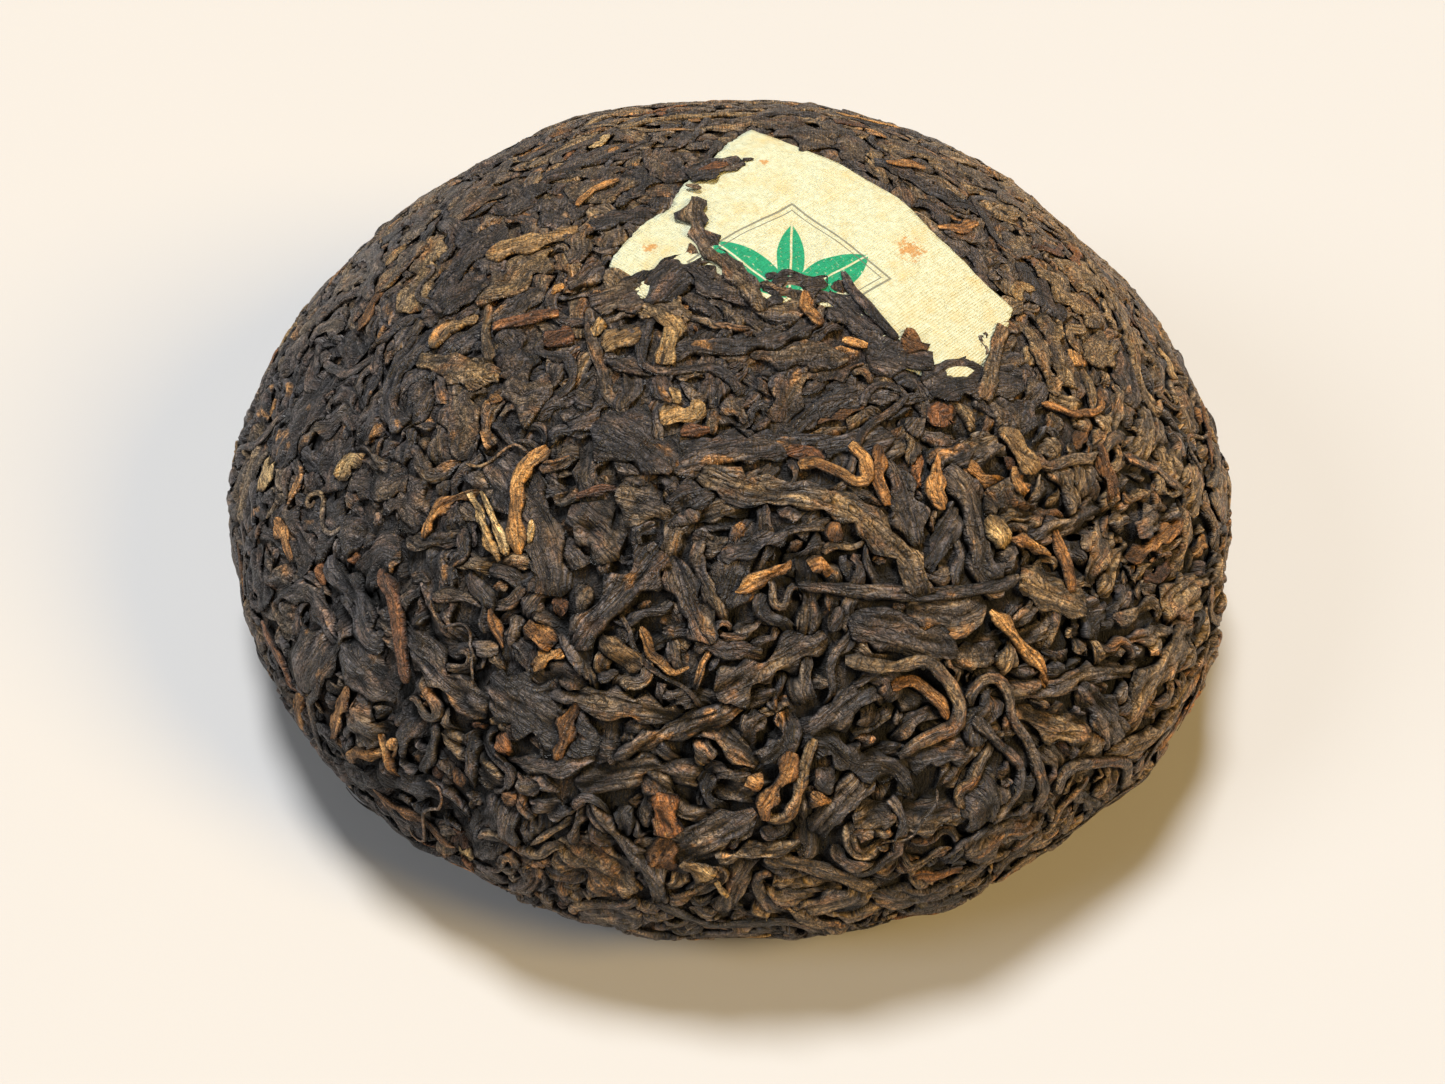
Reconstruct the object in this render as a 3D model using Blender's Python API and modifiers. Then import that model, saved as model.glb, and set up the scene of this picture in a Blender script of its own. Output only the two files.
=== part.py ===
"""A tuocha, which is dark tea pressed into a bowl-shaped cake, as it lies upside down on its foot ring.

Two pieces: the cake of pressed leaves, a dome with a nest-shaped hollow below, and the small paper
ticket that was pressed into its top. The cake is a turned core with low lumps, and the largest leaves
of its surface are fused on. All lengths are metres, +Z is up, and the origin is at the middle of the base.
"""

import math
import random

import bmesh
import bpy
from mathutils import Matrix, Vector, noise

MM = 0.001

# The whole cake
DIAMETER = 83 * MM
HEIGHT = 39 * MM
EQUATOR_HEIGHT = 10 * MM  # the level where it is widest
FLANK_WAIST = 0.045  # how far the flank falls in from a plain ellipse, as a share of the radius
WAIST_START = 0.1  # share of the dome's rise over which the full rim bulges

# The foot ring and the hollow that the knotted pressing bag leaves
FOOT_OUTER_RADIUS = 33 * MM
FOOT_INNER_RADIUS = 29 * MM
HOLLOW_RADIUS = 24 * MM
HOLLOW_DEPTH = 20 * MM
LIP_HEIGHT = 4 * MM

# The core under the fused leaves
CORE_INSET = 0.8 * MM  # how far it stays behind the tops of the leaves
LUMP_SIZE = 4 * MM
LUMP_HEIGHT = 1.2 * MM
TURN_STEPS = 66
DOME_STEPS = 16
RIM_STEPS = 6
LIP_STEPS = 3
HOLLOW_STEPS = 6
MERGE_DISTANCE = 0.01 * MM
CAKE_SHARP_ANGLE = math.radians(50)

# The fused leaves, largest first
LEAF_COUNT = 53
LEAF_STRIDE = 23  # shares no factor with the count, so that each size is spread over the whole dome
LEAF_LENGTH = (24 * MM, 13 * MM)
LEAF_WIDTH = (4.0 * MM, 2.6 * MM)
LEAF_THICKNESS = 1.5 * MM
LEAF_STATIONS = 8
LEAF_SIDES = 6
LEAF_TIP = 0.35  # width at a leaf's ends, as a share of its full width
LEAF_TIP_THICKNESS = 0.8  # thickness there, as a share of the full thickness
LEAF_BLUNTNESS = 0.6  # power of the curve from tip to full width; less is blunter
LEAF_CURL = math.radians(70)  # the most that a leaf's direction turns from end to end
LEAF_LOWEST = 1.8 * MM
GOLDEN_ANGLE = math.pi * (3 - math.sqrt(5))
SEED = 7

# The paper ticket
TICKET_MIDDLE = Vector((4.4 * MM, -1.5 * MM, 0))
TICKET_TURN = math.radians(-40.4)  # direction of its long straight edge
TICKET_THICKNESS = 0.35 * MM
TICKET_INSET = 0.5 * MM  # its upper face, below the tops of the leaves
TICKET_RUMPLE = 0.12 * MM
TICKET_RUMPLE_WIDTH = 6 * MM
TICKET_GAP = 0.32 * MM
TICKET_CELL = 2.6 * MM
TICKET_SHARP_ANGLE = math.radians(40)
# The ticket's edge in its own directions: one long straight edge, and elsewhere ragged where leaves grip it
TICKET_OUTLINE_MM = (
    (-13.7, 9.1), (13.1, 9.1), (13.6, 6.8), (13.3, 5.0), (14.4, 1.8), (13.6, -0.2), (12.2, -0.3),
    (8.8, -1.7), (6.8, -0.9), (4.2, -0.5), (1.7, -2.6), (-0.3, -4.3), (-3.0, -4.4), (-5.0, -5.4),
    (-5.4, -8.4), (-6.8, -10.0), (-9.4, -10.8), (-10.3, -6.8), (-11.3, -0.5), (-12.4, 2.8),
)  # fmt: skip


def clear_scene():
    for obj in list(bpy.data.objects):
        bpy.data.objects.remove(obj)


def make_collection(name):
    collection = bpy.data.collections.new(name)
    bpy.context.scene.collection.children.link(collection)
    return collection


def make_material(name, colour, roughness):
    material = bpy.data.materials.new(name)
    material.use_nodes = True
    shader = material.node_tree.nodes["Principled BSDF"]
    shader.inputs["Base Color"].default_value = (*colour, 1)
    shader.inputs["Roughness"].default_value = roughness
    shader.inputs["Metallic"].default_value = 0
    return material


def make_object(name, mesh, collection):
    obj = bpy.data.objects.new(name, mesh)
    collection.objects.link(obj)
    return obj


def bake_modifiers(obj):
    """Replaces the object's mesh with what its modifiers make of it."""
    evaluated = obj.evaluated_get(bpy.context.evaluated_depsgraph_get())
    mesh = bpy.data.meshes.new_from_object(evaluated)
    obj.modifiers.clear()
    obj.data = mesh


# ---- the cake's outline, as (radius, height) points


def dome_profile(inset, dome_steps, rim_steps):
    """From the top over the dome and round the rim to the outer edge of the foot ring."""
    radius = DIAMETER / 2 - inset
    rise = HEIGHT - EQUATOR_HEIGHT - inset
    points = []
    for i in range(dome_steps + 1):
        angle = math.pi / 2 * (1 - i / dome_steps)
        level = math.sin(angle)
        above_rim = max(0, level - WAIST_START) / (1 - WAIST_START)
        fullness = 1 - FLANK_WAIST * math.sin(math.pi * above_rim) ** 2
        points.append((radius * math.cos(angle) * fullness, EQUATOR_HEIGHT + rise * level))
    points[0] = (0, HEIGHT - inset)
    for i in range(1, rim_steps + 1):
        angle = math.pi / 2 * i / rim_steps
        out = FOOT_OUTER_RADIUS + (radius - FOOT_OUTER_RADIUS) * math.cos(angle)
        points.append((out, EQUATOR_HEIGHT * (1 - math.sin(angle))))
    return points


def underside_profile():
    """From the inner edge of the foot ring over the rounded lip to the top of the hollow."""
    points = []
    for i in range(LIP_STEPS):
        angle = math.pi / 2 * i / LIP_STEPS
        inwards = (FOOT_INNER_RADIUS - HOLLOW_RADIUS) * math.sin(angle)
        points.append((FOOT_INNER_RADIUS - inwards, LIP_HEIGHT * (1 - math.cos(angle))))
    for i in range(HOLLOW_STEPS + 1):
        angle = math.pi / 2 * i / HOLLOW_STEPS
        rise = (HOLLOW_DEPTH - LIP_HEIGHT) * math.sin(angle)
        points.append((HOLLOW_RADIUS * math.cos(angle), LIP_HEIGHT + rise))
    points[-1] = (0, HOLLOW_DEPTH)
    return points


class Dome:
    """The outer surface at a given depth behind the tops of the leaves."""

    DOME_STEPS = 90
    RIM_STEPS = 30

    def __init__(self, inset):
        self.points = [Vector(p) for p in dome_profile(inset, self.DOME_STEPS, self.RIM_STEPS)]

    def nearest(self, point):
        """The surface's nearest point, and its outward normal there."""
        around = Vector((point.x, point.y))
        outwards = around.normalized() if around.length > 0 else Vector((1, 0))
        target = Vector((around.length, point.z))
        best = None
        for start, end in zip(self.points, self.points[1:]):
            along = end - start
            share = min(1, max(0, (target - start).dot(along) / along.length_squared))
            place = start + share * along
            distance = (place - target).length
            if best is None or distance < best[0]:
                best = (distance, place, along.normalized())
        _, place, along = best
        on_surface = Vector((*(outwards * place.x), place.y))
        normal = Vector((*(outwards * -along.y), along.x))
        return on_surface, normal

    def at(self, share, azimuth):
        """The point with this share of the surface's area above it."""
        bands = [
            (a.x + b.x) * (b - a).length for a, b in zip(self.points, self.points[1:])
        ]
        wanted = share * sum(bands)
        for band, start, end in zip(bands, self.points, self.points[1:]):
            if wanted <= band:
                place = start.lerp(end, wanted / band)
                break
            wanted -= band
        return Vector((place.x * math.cos(azimuth), place.x * math.sin(azimuth), place.y))


# ---- the ticket


def ticket_corners(grown):
    """The ticket's outline in its own flat directions, with every edge moved out by this much."""
    corners = [Vector(p) * MM for p in TICKET_OUTLINE_MM]
    moved = []
    for before, corner, after in zip(corners[-1:] + corners, corners, corners[1:] + corners[:1]):
        outwards = [
            Vector((start.y - end.y, end.x - start.x)).normalized()
            for start, end in ((before, corner), (corner, after))
        ]
        mitre = (outwards[0] + outwards[1]) / (1 + outwards[0].dot(outwards[1]))
        moved.append(corner + grown * mitre)
    return moved


def flat_sheet(corners):
    """The outline as a flat face cut into small cells, so that it can bend."""
    sheet = bmesh.new()
    sheet.faces.new([sheet.verts.new((*corner, 0)) for corner in corners])
    for axis in (Vector((1, 0, 0)), Vector((0, 1, 0))):
        spread = [axis.to_2d().dot(corner) for corner in corners]
        cuts = round((max(spread) - min(spread)) / TICKET_CELL)
        for i in range(1, cuts):
            place = min(spread) + (max(spread) - min(spread)) * i / cuts
            everything = sheet.verts[:] + sheet.edges[:] + sheet.faces[:]
            bmesh.ops.bisect_plane(sheet, geom=everything, plane_co=axis * place, plane_no=axis)
    bmesh.ops.triangulate(sheet, faces=sheet.faces[:])
    return sheet


def ticket_body(name, collection, grown, low, high):
    """A closed shape over the ticket's outline, between two depths behind the tops of the leaves."""
    surface = Dome(0)
    sheet = flat_sheet(ticket_corners(grown))
    turn = Matrix.Rotation(TICKET_TURN, 4, "Z")
    lower, upper = {}, {}
    body = bmesh.new()
    for vert in sheet.verts:
        flat = turn @ vert.co + TICKET_MIDDLE
        place, normal = surface.nearest(Vector((flat.x, flat.y, HEIGHT)))
        rumple = TICKET_RUMPLE * noise.noise(flat / TICKET_RUMPLE_WIDTH)
        lower[vert] = body.verts.new(place + normal * (rumple - low))
        upper[vert] = body.verts.new(place + normal * (rumple - high))
    for face in sheet.faces:
        body.faces.new([upper[v] for v in face.verts])
        body.faces.new([lower[v] for v in reversed(face.verts)])
    for edge in sheet.edges:
        if edge.is_boundary:
            a, b = edge.verts
            body.faces.new((lower[a], lower[b], upper[b], upper[a]))
    sheet.free()
    bmesh.ops.triangulate(body, faces=body.faces[:])
    bmesh.ops.recalc_face_normals(body, faces=body.faces[:])
    mesh = bpy.data.meshes.new(name)
    body.to_mesh(mesh)
    body.free()
    return make_object(name, mesh, collection)


def near_ticket(point, margin):
    """Whether a point lies over the ticket or within this margin of it."""
    local = Matrix.Rotation(-TICKET_TURN, 4, "Z") @ (point - TICKET_MIDDLE)
    corners = ticket_corners(margin)
    inside = False
    for a, b in zip(corners, corners[1:] + corners[:1]):
        if (a.y > local.y) != (b.y > local.y):
            if local.x < a.x + (b.x - a.x) * (local.y - a.y) / (b.y - a.y):
                inside = not inside
    return inside and point.z > EQUATOR_HEIGHT


# ---- the cake


def make_core(collection):
    """The turned core, with low lumps everywhere but on the foot ring and under the ticket."""
    profile = dome_profile(CORE_INSET, DOME_STEPS, RIM_STEPS) + underside_profile()
    mesh = bpy.data.meshes.new("tea_body")
    points = [(radius, 0, height) for radius, height in profile]
    mesh.from_pydata(points, [(i, i + 1) for i in range(len(points) - 1)], [])
    core = make_object("tea_body", mesh, collection)
    screw = core.modifiers.new("turned", "SCREW")
    screw.steps = screw.render_steps = TURN_STEPS
    screw.use_merge_vertices = True
    screw.merge_threshold = MERGE_DISTANCE
    bake_modifiers(core)
    shape = bmesh.new()
    shape.from_mesh(core.data)
    bmesh.ops.triangulate(shape, faces=shape.faces[:])
    shape.normal_update()
    for vert in shape.verts:
        if vert.co.z > LEAF_LOWEST / 2 and not near_ticket(vert.co, TICKET_CELL):
            lump = LUMP_HEIGHT * noise.noise(vert.co / LUMP_SIZE)
            vert.co += vert.normal * lump
    shape.to_mesh(core.data)
    shape.free()
    return core


def leaf_route(middle, heading, length, curl):
    """Points and normals along a leaf that lies on the dome."""
    surface = Dome(LEAF_THICKNESS / 2)
    start, start_normal = surface.nearest(middle)
    sideways = Vector((-start.y, start.x, 0)).normalized()
    step = length / (LEAF_STATIONS - 1)
    stations = [(start, start_normal)]
    for sign in (1, -1):
        place, normal = start, start_normal
        along = Matrix.Rotation(heading, 3, normal) @ sideways * sign
        half = []
        for _ in range(LEAF_STATIONS // 2):
            place, normal = surface.nearest(place + along * step)
            along = Matrix.Rotation(curl / LEAF_STATIONS, 3, normal) @ along
            along = (along - normal * along.dot(normal)).normalized()
            half.append((place, normal))
        stations = stations + half if sign > 0 else half[::-1] + stations
    return stations[:LEAF_STATIONS]


def make_leaf(stations, width, collection):
    """A flattened strip of few sides through the stations, narrower and lower towards both ends."""
    turns = [math.tau * k / LEAF_SIDES for k in range(LEAF_SIDES)]
    section = [(math.cos(turn) / 2, math.sin(turn) / 2) for turn in turns]
    strip = bmesh.new()
    rings = []
    for i, (place, normal) in enumerate(stations):
        before = stations[max(0, i - 1)][0]
        after = stations[min(len(stations) - 1, i + 1)][0]
        across = normal.cross(after - before).normalized()
        fullness = math.sin(math.pi * i / (len(stations) - 1))
        wide = width * (LEAF_TIP + (1 - LEAF_TIP) * fullness**LEAF_BLUNTNESS)
        thick = LEAF_THICKNESS * (LEAF_TIP_THICKNESS + (1 - LEAF_TIP_THICKNESS) * fullness)
        sunk = place - normal * (LEAF_THICKNESS - thick) / 2
        rings.append(
            [strip.verts.new(sunk + across * wide * u + normal * thick * v) for u, v in section]
        )
    for ring, following in zip(rings, rings[1:]):
        for k in range(LEAF_SIDES):
            n = (k + 1) % LEAF_SIDES
            strip.faces.new((ring[k], ring[n], following[n], following[k]))
    strip.faces.new(rings[0])
    strip.faces.new(rings[-1])
    bmesh.ops.triangulate(strip, faces=strip.faces[:])
    bmesh.ops.recalc_face_normals(strip, faces=strip.faces[:])
    mesh = bpy.data.meshes.new("leaf")
    strip.to_mesh(mesh)
    strip.free()
    return make_object("leaf", mesh, collection)


def make_leaves(collection):
    """Leaves spread evenly over the dome, the rim and the tuck below it by the golden angle."""
    draw = random.Random(SEED)
    spread = Dome(0)
    for i in range(LEAF_COUNT):
        place = i * LEAF_STRIDE % LEAF_COUNT
        share = (place + 0.5) / LEAF_COUNT
        azimuth = place * GOLDEN_ANGLE
        size = i / (LEAF_COUNT - 1)
        length = LEAF_LENGTH[0] + (LEAF_LENGTH[1] - LEAF_LENGTH[0]) * size
        width = LEAF_WIDTH[0] + (LEAF_WIDTH[1] - LEAF_WIDTH[0]) * size
        heading = draw.uniform(0, math.pi)
        curl = draw.uniform(-LEAF_CURL, LEAF_CURL)
        stations = leaf_route(spread.at(share, azimuth), heading, length, curl)
        if any(near_ticket(point, width) for point, _ in stations):
            continue
        if min(point.z for point, _ in stations) < LEAF_LOWEST:
            continue
        make_leaf(stations, width, collection)


def keep_outer_shell(obj):
    """Fills the small hollows that fusing seals and drops loose scraps: only the largest shell stays."""
    shape = bmesh.new()
    shape.from_mesh(obj.data)
    waiting = set(shape.verts)
    shells = []
    while waiting:
        shell, edge_of_search = set(), [waiting.pop()]
        while edge_of_search:
            vert = edge_of_search.pop()
            shell.add(vert)
            for edge in vert.link_edges:
                other = edge.other_vert(vert)
                if other in waiting:
                    waiting.remove(other)
                    edge_of_search.append(other)
        shells.append(shell)
    largest = max(shells, key=len)
    spare = [vert for shell in shells if shell is not largest for vert in shell]
    bmesh.ops.delete(shape, geom=spare, context="VERTS")
    shape.to_mesh(obj.data)
    shape.free()


def fuse_leaves(core, leaves):
    union = core.modifiers.new("fused leaves", "BOOLEAN")
    union.operation = "UNION"
    union.operand_type = "COLLECTION"
    union.collection = leaves
    bake_modifiers(core)
    keep_outer_shell(core)
    for leaf in list(leaves.objects):
        bpy.data.objects.remove(leaf)
    bpy.data.collections.remove(leaves)


def cut_pocket(core, cutters):
    """The shallow bed that the pressed ticket lies in, a little larger than the ticket all round."""
    bed_depth = TICKET_INSET + TICKET_THICKNESS + TICKET_GAP
    bed = ticket_body("ticket_bed", cutters, 2 * TICKET_GAP, bed_depth, -2 * LEAF_THICKNESS)
    bed.hide_render = True
    bed.display_type = "WIRE"
    cut = core.modifiers.new("ticket bed", "BOOLEAN")
    cut.operation = "DIFFERENCE"
    cut.object = bed


def centre_on_base(objects, measured):
    """Moves the objects sideways together, so that the measured one's box is centred on the origin."""
    xs = [vert.co.x for vert in measured.data.vertices]
    ys = [vert.co.y for vert in measured.data.vertices]
    shift = Vector((-(min(xs) + max(xs)) / 2, -(min(ys) + max(ys)) / 2, 0))
    for obj in objects:
        obj.location = shift


def smooth(obj, angle):
    obj.data.shade_smooth()
    obj.data.set_sharp_from_angle(angle=angle)


def main():
    clear_scene()
    tuocha = make_collection("tuocha")
    cutters = make_collection("cutters")
    leaves = make_collection("leaves")

    core = make_core(tuocha)
    make_leaves(leaves)
    fuse_leaves(core, leaves)
    cut_pocket(core, cutters)
    underside = TICKET_INSET + TICKET_THICKNESS
    ticket = ticket_body("paper_ticket", tuocha, 0, underside, TICKET_INSET)

    centre_on_base([core, ticket, *cutters.objects], core)
    smooth(core, CAKE_SHARP_ANGLE)
    smooth(ticket, TICKET_SHARP_ANGLE)
    core.data.materials.append(make_material("pressed_tea", (0.045, 0.032, 0.024), 0.75))
    ticket.data.materials.append(make_material("ticket_paper", (0.86, 0.80, 0.60), 0.85))


main()
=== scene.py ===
"""The looks of a tuocha: a bowl-shaped cake of pressed dark tea, lying on its foot ring.

The cake is nearly three thousand single leaves, stems and buds, laid from the outside inwards. Each one
is a folded strip that follows the cake's surface. It rises to the pressing cloth where nothing lies over
it and dives under what was laid before it. Lengths are millimetres until a mesh is made.
"""

import math
from dataclasses import dataclass, replace
from functools import lru_cache

import bmesh
import bpy
import numpy as np
from mathutils import Matrix, Vector


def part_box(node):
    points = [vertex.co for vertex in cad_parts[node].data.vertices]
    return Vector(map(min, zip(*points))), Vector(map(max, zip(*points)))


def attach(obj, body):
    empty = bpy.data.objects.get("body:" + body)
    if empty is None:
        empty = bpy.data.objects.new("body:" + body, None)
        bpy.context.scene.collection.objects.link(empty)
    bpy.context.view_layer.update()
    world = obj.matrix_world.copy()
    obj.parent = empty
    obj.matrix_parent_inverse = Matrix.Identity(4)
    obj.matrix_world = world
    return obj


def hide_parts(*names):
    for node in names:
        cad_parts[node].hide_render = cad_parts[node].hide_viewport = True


MM = 0.001
SEED = 11

# The photograph's frame and the camera that matches it
IMAGE_WIDTH, IMAGE_HEIGHT = 1445, 1084
FOCAL_PX = 2170
SENSOR_MM = 36
CAMERA_PLACE = np.array((0.0, -126.14, 140.81))
CAMERA_PITCH, CAMERA_YAW, CAMERA_ROLL = math.radians(47.27), math.radians(0.32), math.radians(2.63)

# The cake's outline, as the CAD model has it
EQUATOR_HEIGHT = 10.0
FLANK_WAIST = 0.045
WAIST_START = 0.1
FOOT_OUTER_RADIUS = 33.0
FOOT_INNER_RADIUS = 29.0
HOLLOW_RADIUS = 24.0
HOLLOW_DEPTH = 20.0
LIP_HEIGHT = 4.0

# The pressing cloth lies this far outside the solid's widest and highest places
CLOTH_OUT, CLOTH_UP = 0.1, 0.3
WEAVE_PITCH = 0.34

# The ticket's place and turn, as the CAD model has them
TICKET_MIDDLE = np.array((4.4, -1.5))
TICKET_TURN = math.radians(-40.4)

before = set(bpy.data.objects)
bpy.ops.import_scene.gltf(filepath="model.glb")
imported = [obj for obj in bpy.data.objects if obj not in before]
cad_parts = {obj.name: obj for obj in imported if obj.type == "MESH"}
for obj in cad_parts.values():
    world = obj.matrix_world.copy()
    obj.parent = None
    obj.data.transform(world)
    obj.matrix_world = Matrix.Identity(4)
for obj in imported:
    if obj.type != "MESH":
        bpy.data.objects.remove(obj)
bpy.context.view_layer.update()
cake_low, cake_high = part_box("tea_body")
RADIUS = (cake_high[0] - cake_low[0]) / 2 / MM + CLOTH_OUT
HEIGHT = cake_high[2] / MM + CLOTH_UP
rng = np.random.default_rng(SEED)


# ---- the cake's surface

QUARTER_TURN = math.pi / 2
DOME_STEPS, RIM_STEPS, HOLLOW_STEPS, LIP_STEPS, TUCK_STEPS = 160, 40, 60, 20, 12
TUCK_END = 1.0  # radians above the equator's level up to which the underside goes on round the rim


def rim(angle):
    """The bulge from the equator, at zero, to the foot ring, at a quarter turn."""
    out = FOOT_OUTER_RADIUS + (RADIUS - FOOT_OUTER_RADIUS) * np.cos(angle)
    return np.stack([out, EQUATOR_HEIGHT * (1 - np.sin(angle))], 1)


def upper_profile():
    """Radius and height from the top over the rim to the foot ring's inner edge."""
    rise = HEIGHT - EQUATOR_HEIGHT
    angle = np.linspace(QUARTER_TURN, 0, DOME_STEPS)
    level = np.sin(angle)
    above_rim = np.clip(level - WAIST_START, 0, None) / (1 - WAIST_START)
    fullness = 1 - FLANK_WAIST * np.sin(math.pi * above_rim) ** 2
    dome = np.stack([RADIUS * np.cos(angle) * fullness, EQUATOR_HEIGHT + rise * level], 1)
    down = rim(np.linspace(0, QUARTER_TURN, RIM_STEPS)[1:])
    return np.concatenate([dome, down, [[FOOT_INNER_RADIUS, 0]]])


def under_profile():
    """Radius and height from the top of the hollow over its lip and the foot ring to the rim."""
    angle = np.linspace(QUARTER_TURN, 0, HOLLOW_STEPS)
    rise = HOLLOW_DEPTH - LIP_HEIGHT
    hollow = np.stack([HOLLOW_RADIUS * np.cos(angle), LIP_HEIGHT + rise * np.sin(angle)], 1)
    angle = np.linspace(QUARTER_TURN, 0, LIP_STEPS)[1:]
    lip_width = FOOT_INNER_RADIUS - HOLLOW_RADIUS
    lip_out = FOOT_INNER_RADIUS - lip_width * np.sin(angle)
    lip = np.stack([lip_out, LIP_HEIGHT * (1 - np.cos(angle))], 1)
    tuck = rim(np.linspace(QUARTER_TURN, TUCK_END, TUCK_STEPS))
    return np.concatenate([hollow, lip, tuck])


class Surface:
    """A turned surface. A place on it is (distance from the axis along the profile, azimuth)."""

    SAMPLES = 600
    SMOOTHING = 6  # samples over which the normals turn
    TABLE_STEP = 0.5
    TABLE_MARGIN, TABLE_LOWEST = 6, -4

    def __init__(self, profile, outward):
        steps = np.hypot(*np.diff(profile, axis=0).T)
        reach = np.concatenate([[0], np.cumsum(steps)])
        self.s = np.linspace(0, reach[-1], self.SAMPLES)
        self.r = np.interp(self.s, reach, profile[:, 0])
        self.z = np.interp(self.s, reach, profile[:, 1])
        slope = np.stack([np.gradient(self.r, self.s), np.gradient(self.z, self.s)], 1)
        slope = smooth_rows(slope, self.SMOOTHING)
        slope /= np.linalg.norm(slope, axis=1, keepdims=True)
        self.normal_r, self.normal_z = -outward * slope[:, 1], outward * slope[:, 0]
        radii = np.arange(0, RADIUS + self.TABLE_MARGIN, self.TABLE_STEP)
        heights = np.arange(self.TABLE_LOWEST, HEIGHT + self.TABLE_MARGIN, self.TABLE_STEP)
        table = [
            self.s[np.argmin((self.r - radius) ** 2 + (self.z - heights[:, None]) ** 2, axis=1)]
            for radius in radii
        ]
        self.table = np.array(table)

    def locate(self, points):
        """The places nearest to some points in space."""
        radius = np.hypot(points[..., 0], points[..., 1])
        azimuth = np.arctan2(points[..., 1], points[..., 0])
        i = radius / self.TABLE_STEP
        j = (points[..., 2] - self.TABLE_LOWEST) / self.TABLE_STEP
        return sample(self.table, i, j), azimuth

    def at(self, s, azimuth):
        """Points and outward normals at some places."""
        r, z = np.interp(s, self.s, self.r), np.interp(s, self.s, self.z)
        nr, nz = np.interp(s, self.s, self.normal_r), np.interp(s, self.s, self.normal_z)
        c, d = np.cos(azimuth), np.sin(azimuth)
        normal = np.stack([nr * c, nr * d, nz], -1)
        normal /= np.linalg.norm(normal, axis=-1, keepdims=True)
        return np.stack([r * c, r * d, z], -1), normal


def smooth_rows(values, reach):
    """A running mean down the rows, weighted towards the middle, with the ends held."""
    kernel = np.hanning(2 * reach + 3)[1:-1]
    kernel /= kernel.sum()
    padded = np.concatenate([values[:1]] * reach + [values] + [values[-1:]] * reach)
    return sum(k * padded[i : i + len(values)] for i, k in enumerate(kernel))


def sample(grid, i, j):
    """A grid's values between its cells."""
    i = np.clip(i, 0, grid.shape[0] - 1.001)
    j = np.clip(j, 0, grid.shape[1] - 1.001)
    a, b = i.astype(int), j.astype(int)
    f, g = i - a, j - b
    low = grid[a, b] * (1 - g) + grid[a, b + 1] * g
    high = grid[a + 1, b] * (1 - g) + grid[a + 1, b + 1] * g
    return low * (1 - f) + high * f


def ramp(values, start, end):
    """0 before the start and 1 past the end, with a soft rise between them."""
    share = np.clip((values - start) / (end - start), 0, 1)
    return share * share * (3 - 2 * share)


# ---- the camera, which also places what the photograph shows

RAY_START, RAY_END, RAY_STEP = 100, 260, 0.1


def camera_matrix():
    yaw = Matrix.Rotation(CAMERA_YAW, 3, "Z")
    pitch = Matrix.Rotation(math.pi / 2 - CAMERA_PITCH, 3, "X")
    roll = Matrix.Rotation(CAMERA_ROLL, 3, "Z")
    return yaw @ pitch @ roll


def add_object(name, data):
    obj = bpy.data.objects.new(name, data)
    bpy.context.scene.collection.objects.link(obj)
    return obj


def make_camera():
    data = bpy.data.cameras.new("camera")
    data.sensor_width = SENSOR_MM
    data.lens = FOCAL_PX / IMAGE_WIDTH * SENSOR_MM
    camera = add_object("camera", data)
    turn = camera_matrix().to_quaternion()
    camera.matrix_world = Matrix.LocRotScale(Vector(CAMERA_PLACE * MM), turn, None)
    bpy.context.scene.camera = camera


def seen_at(pixels):
    """The points of the cake's outer surface that the camera sees at some pixels."""
    pixels = np.array(pixels, float)
    right = (pixels[:, 0] - IMAGE_WIDTH / 2) / FOCAL_PX
    up = -(pixels[:, 1] - IMAGE_HEIGHT / 2) / FOCAL_PX
    rays = np.stack([right, up, -np.ones(len(pixels))], 1)
    rays = rays @ np.array(camera_matrix()).T
    rays /= np.linalg.norm(rays, axis=1, keepdims=True)
    profile = upper_profile()[::-1]
    reach = np.arange(RAY_START, RAY_END, RAY_STEP)
    found = []
    for ray in rays:
        along = CAMERA_PLACE + reach[:, None] * ray
        out = np.interp(along[:, 2], profile[:, 1], profile[:, 0])
        gap = np.hypot(along[:, 0], along[:, 1]) - out
        inside = (gap < 0) & (along[:, 2] < HEIGHT)
        found.append(along[np.argmax(inside) if inside.any() else np.argmin(gap)])
    return np.array(found)


# ---- the bed: what is already laid, seen from outside


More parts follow.
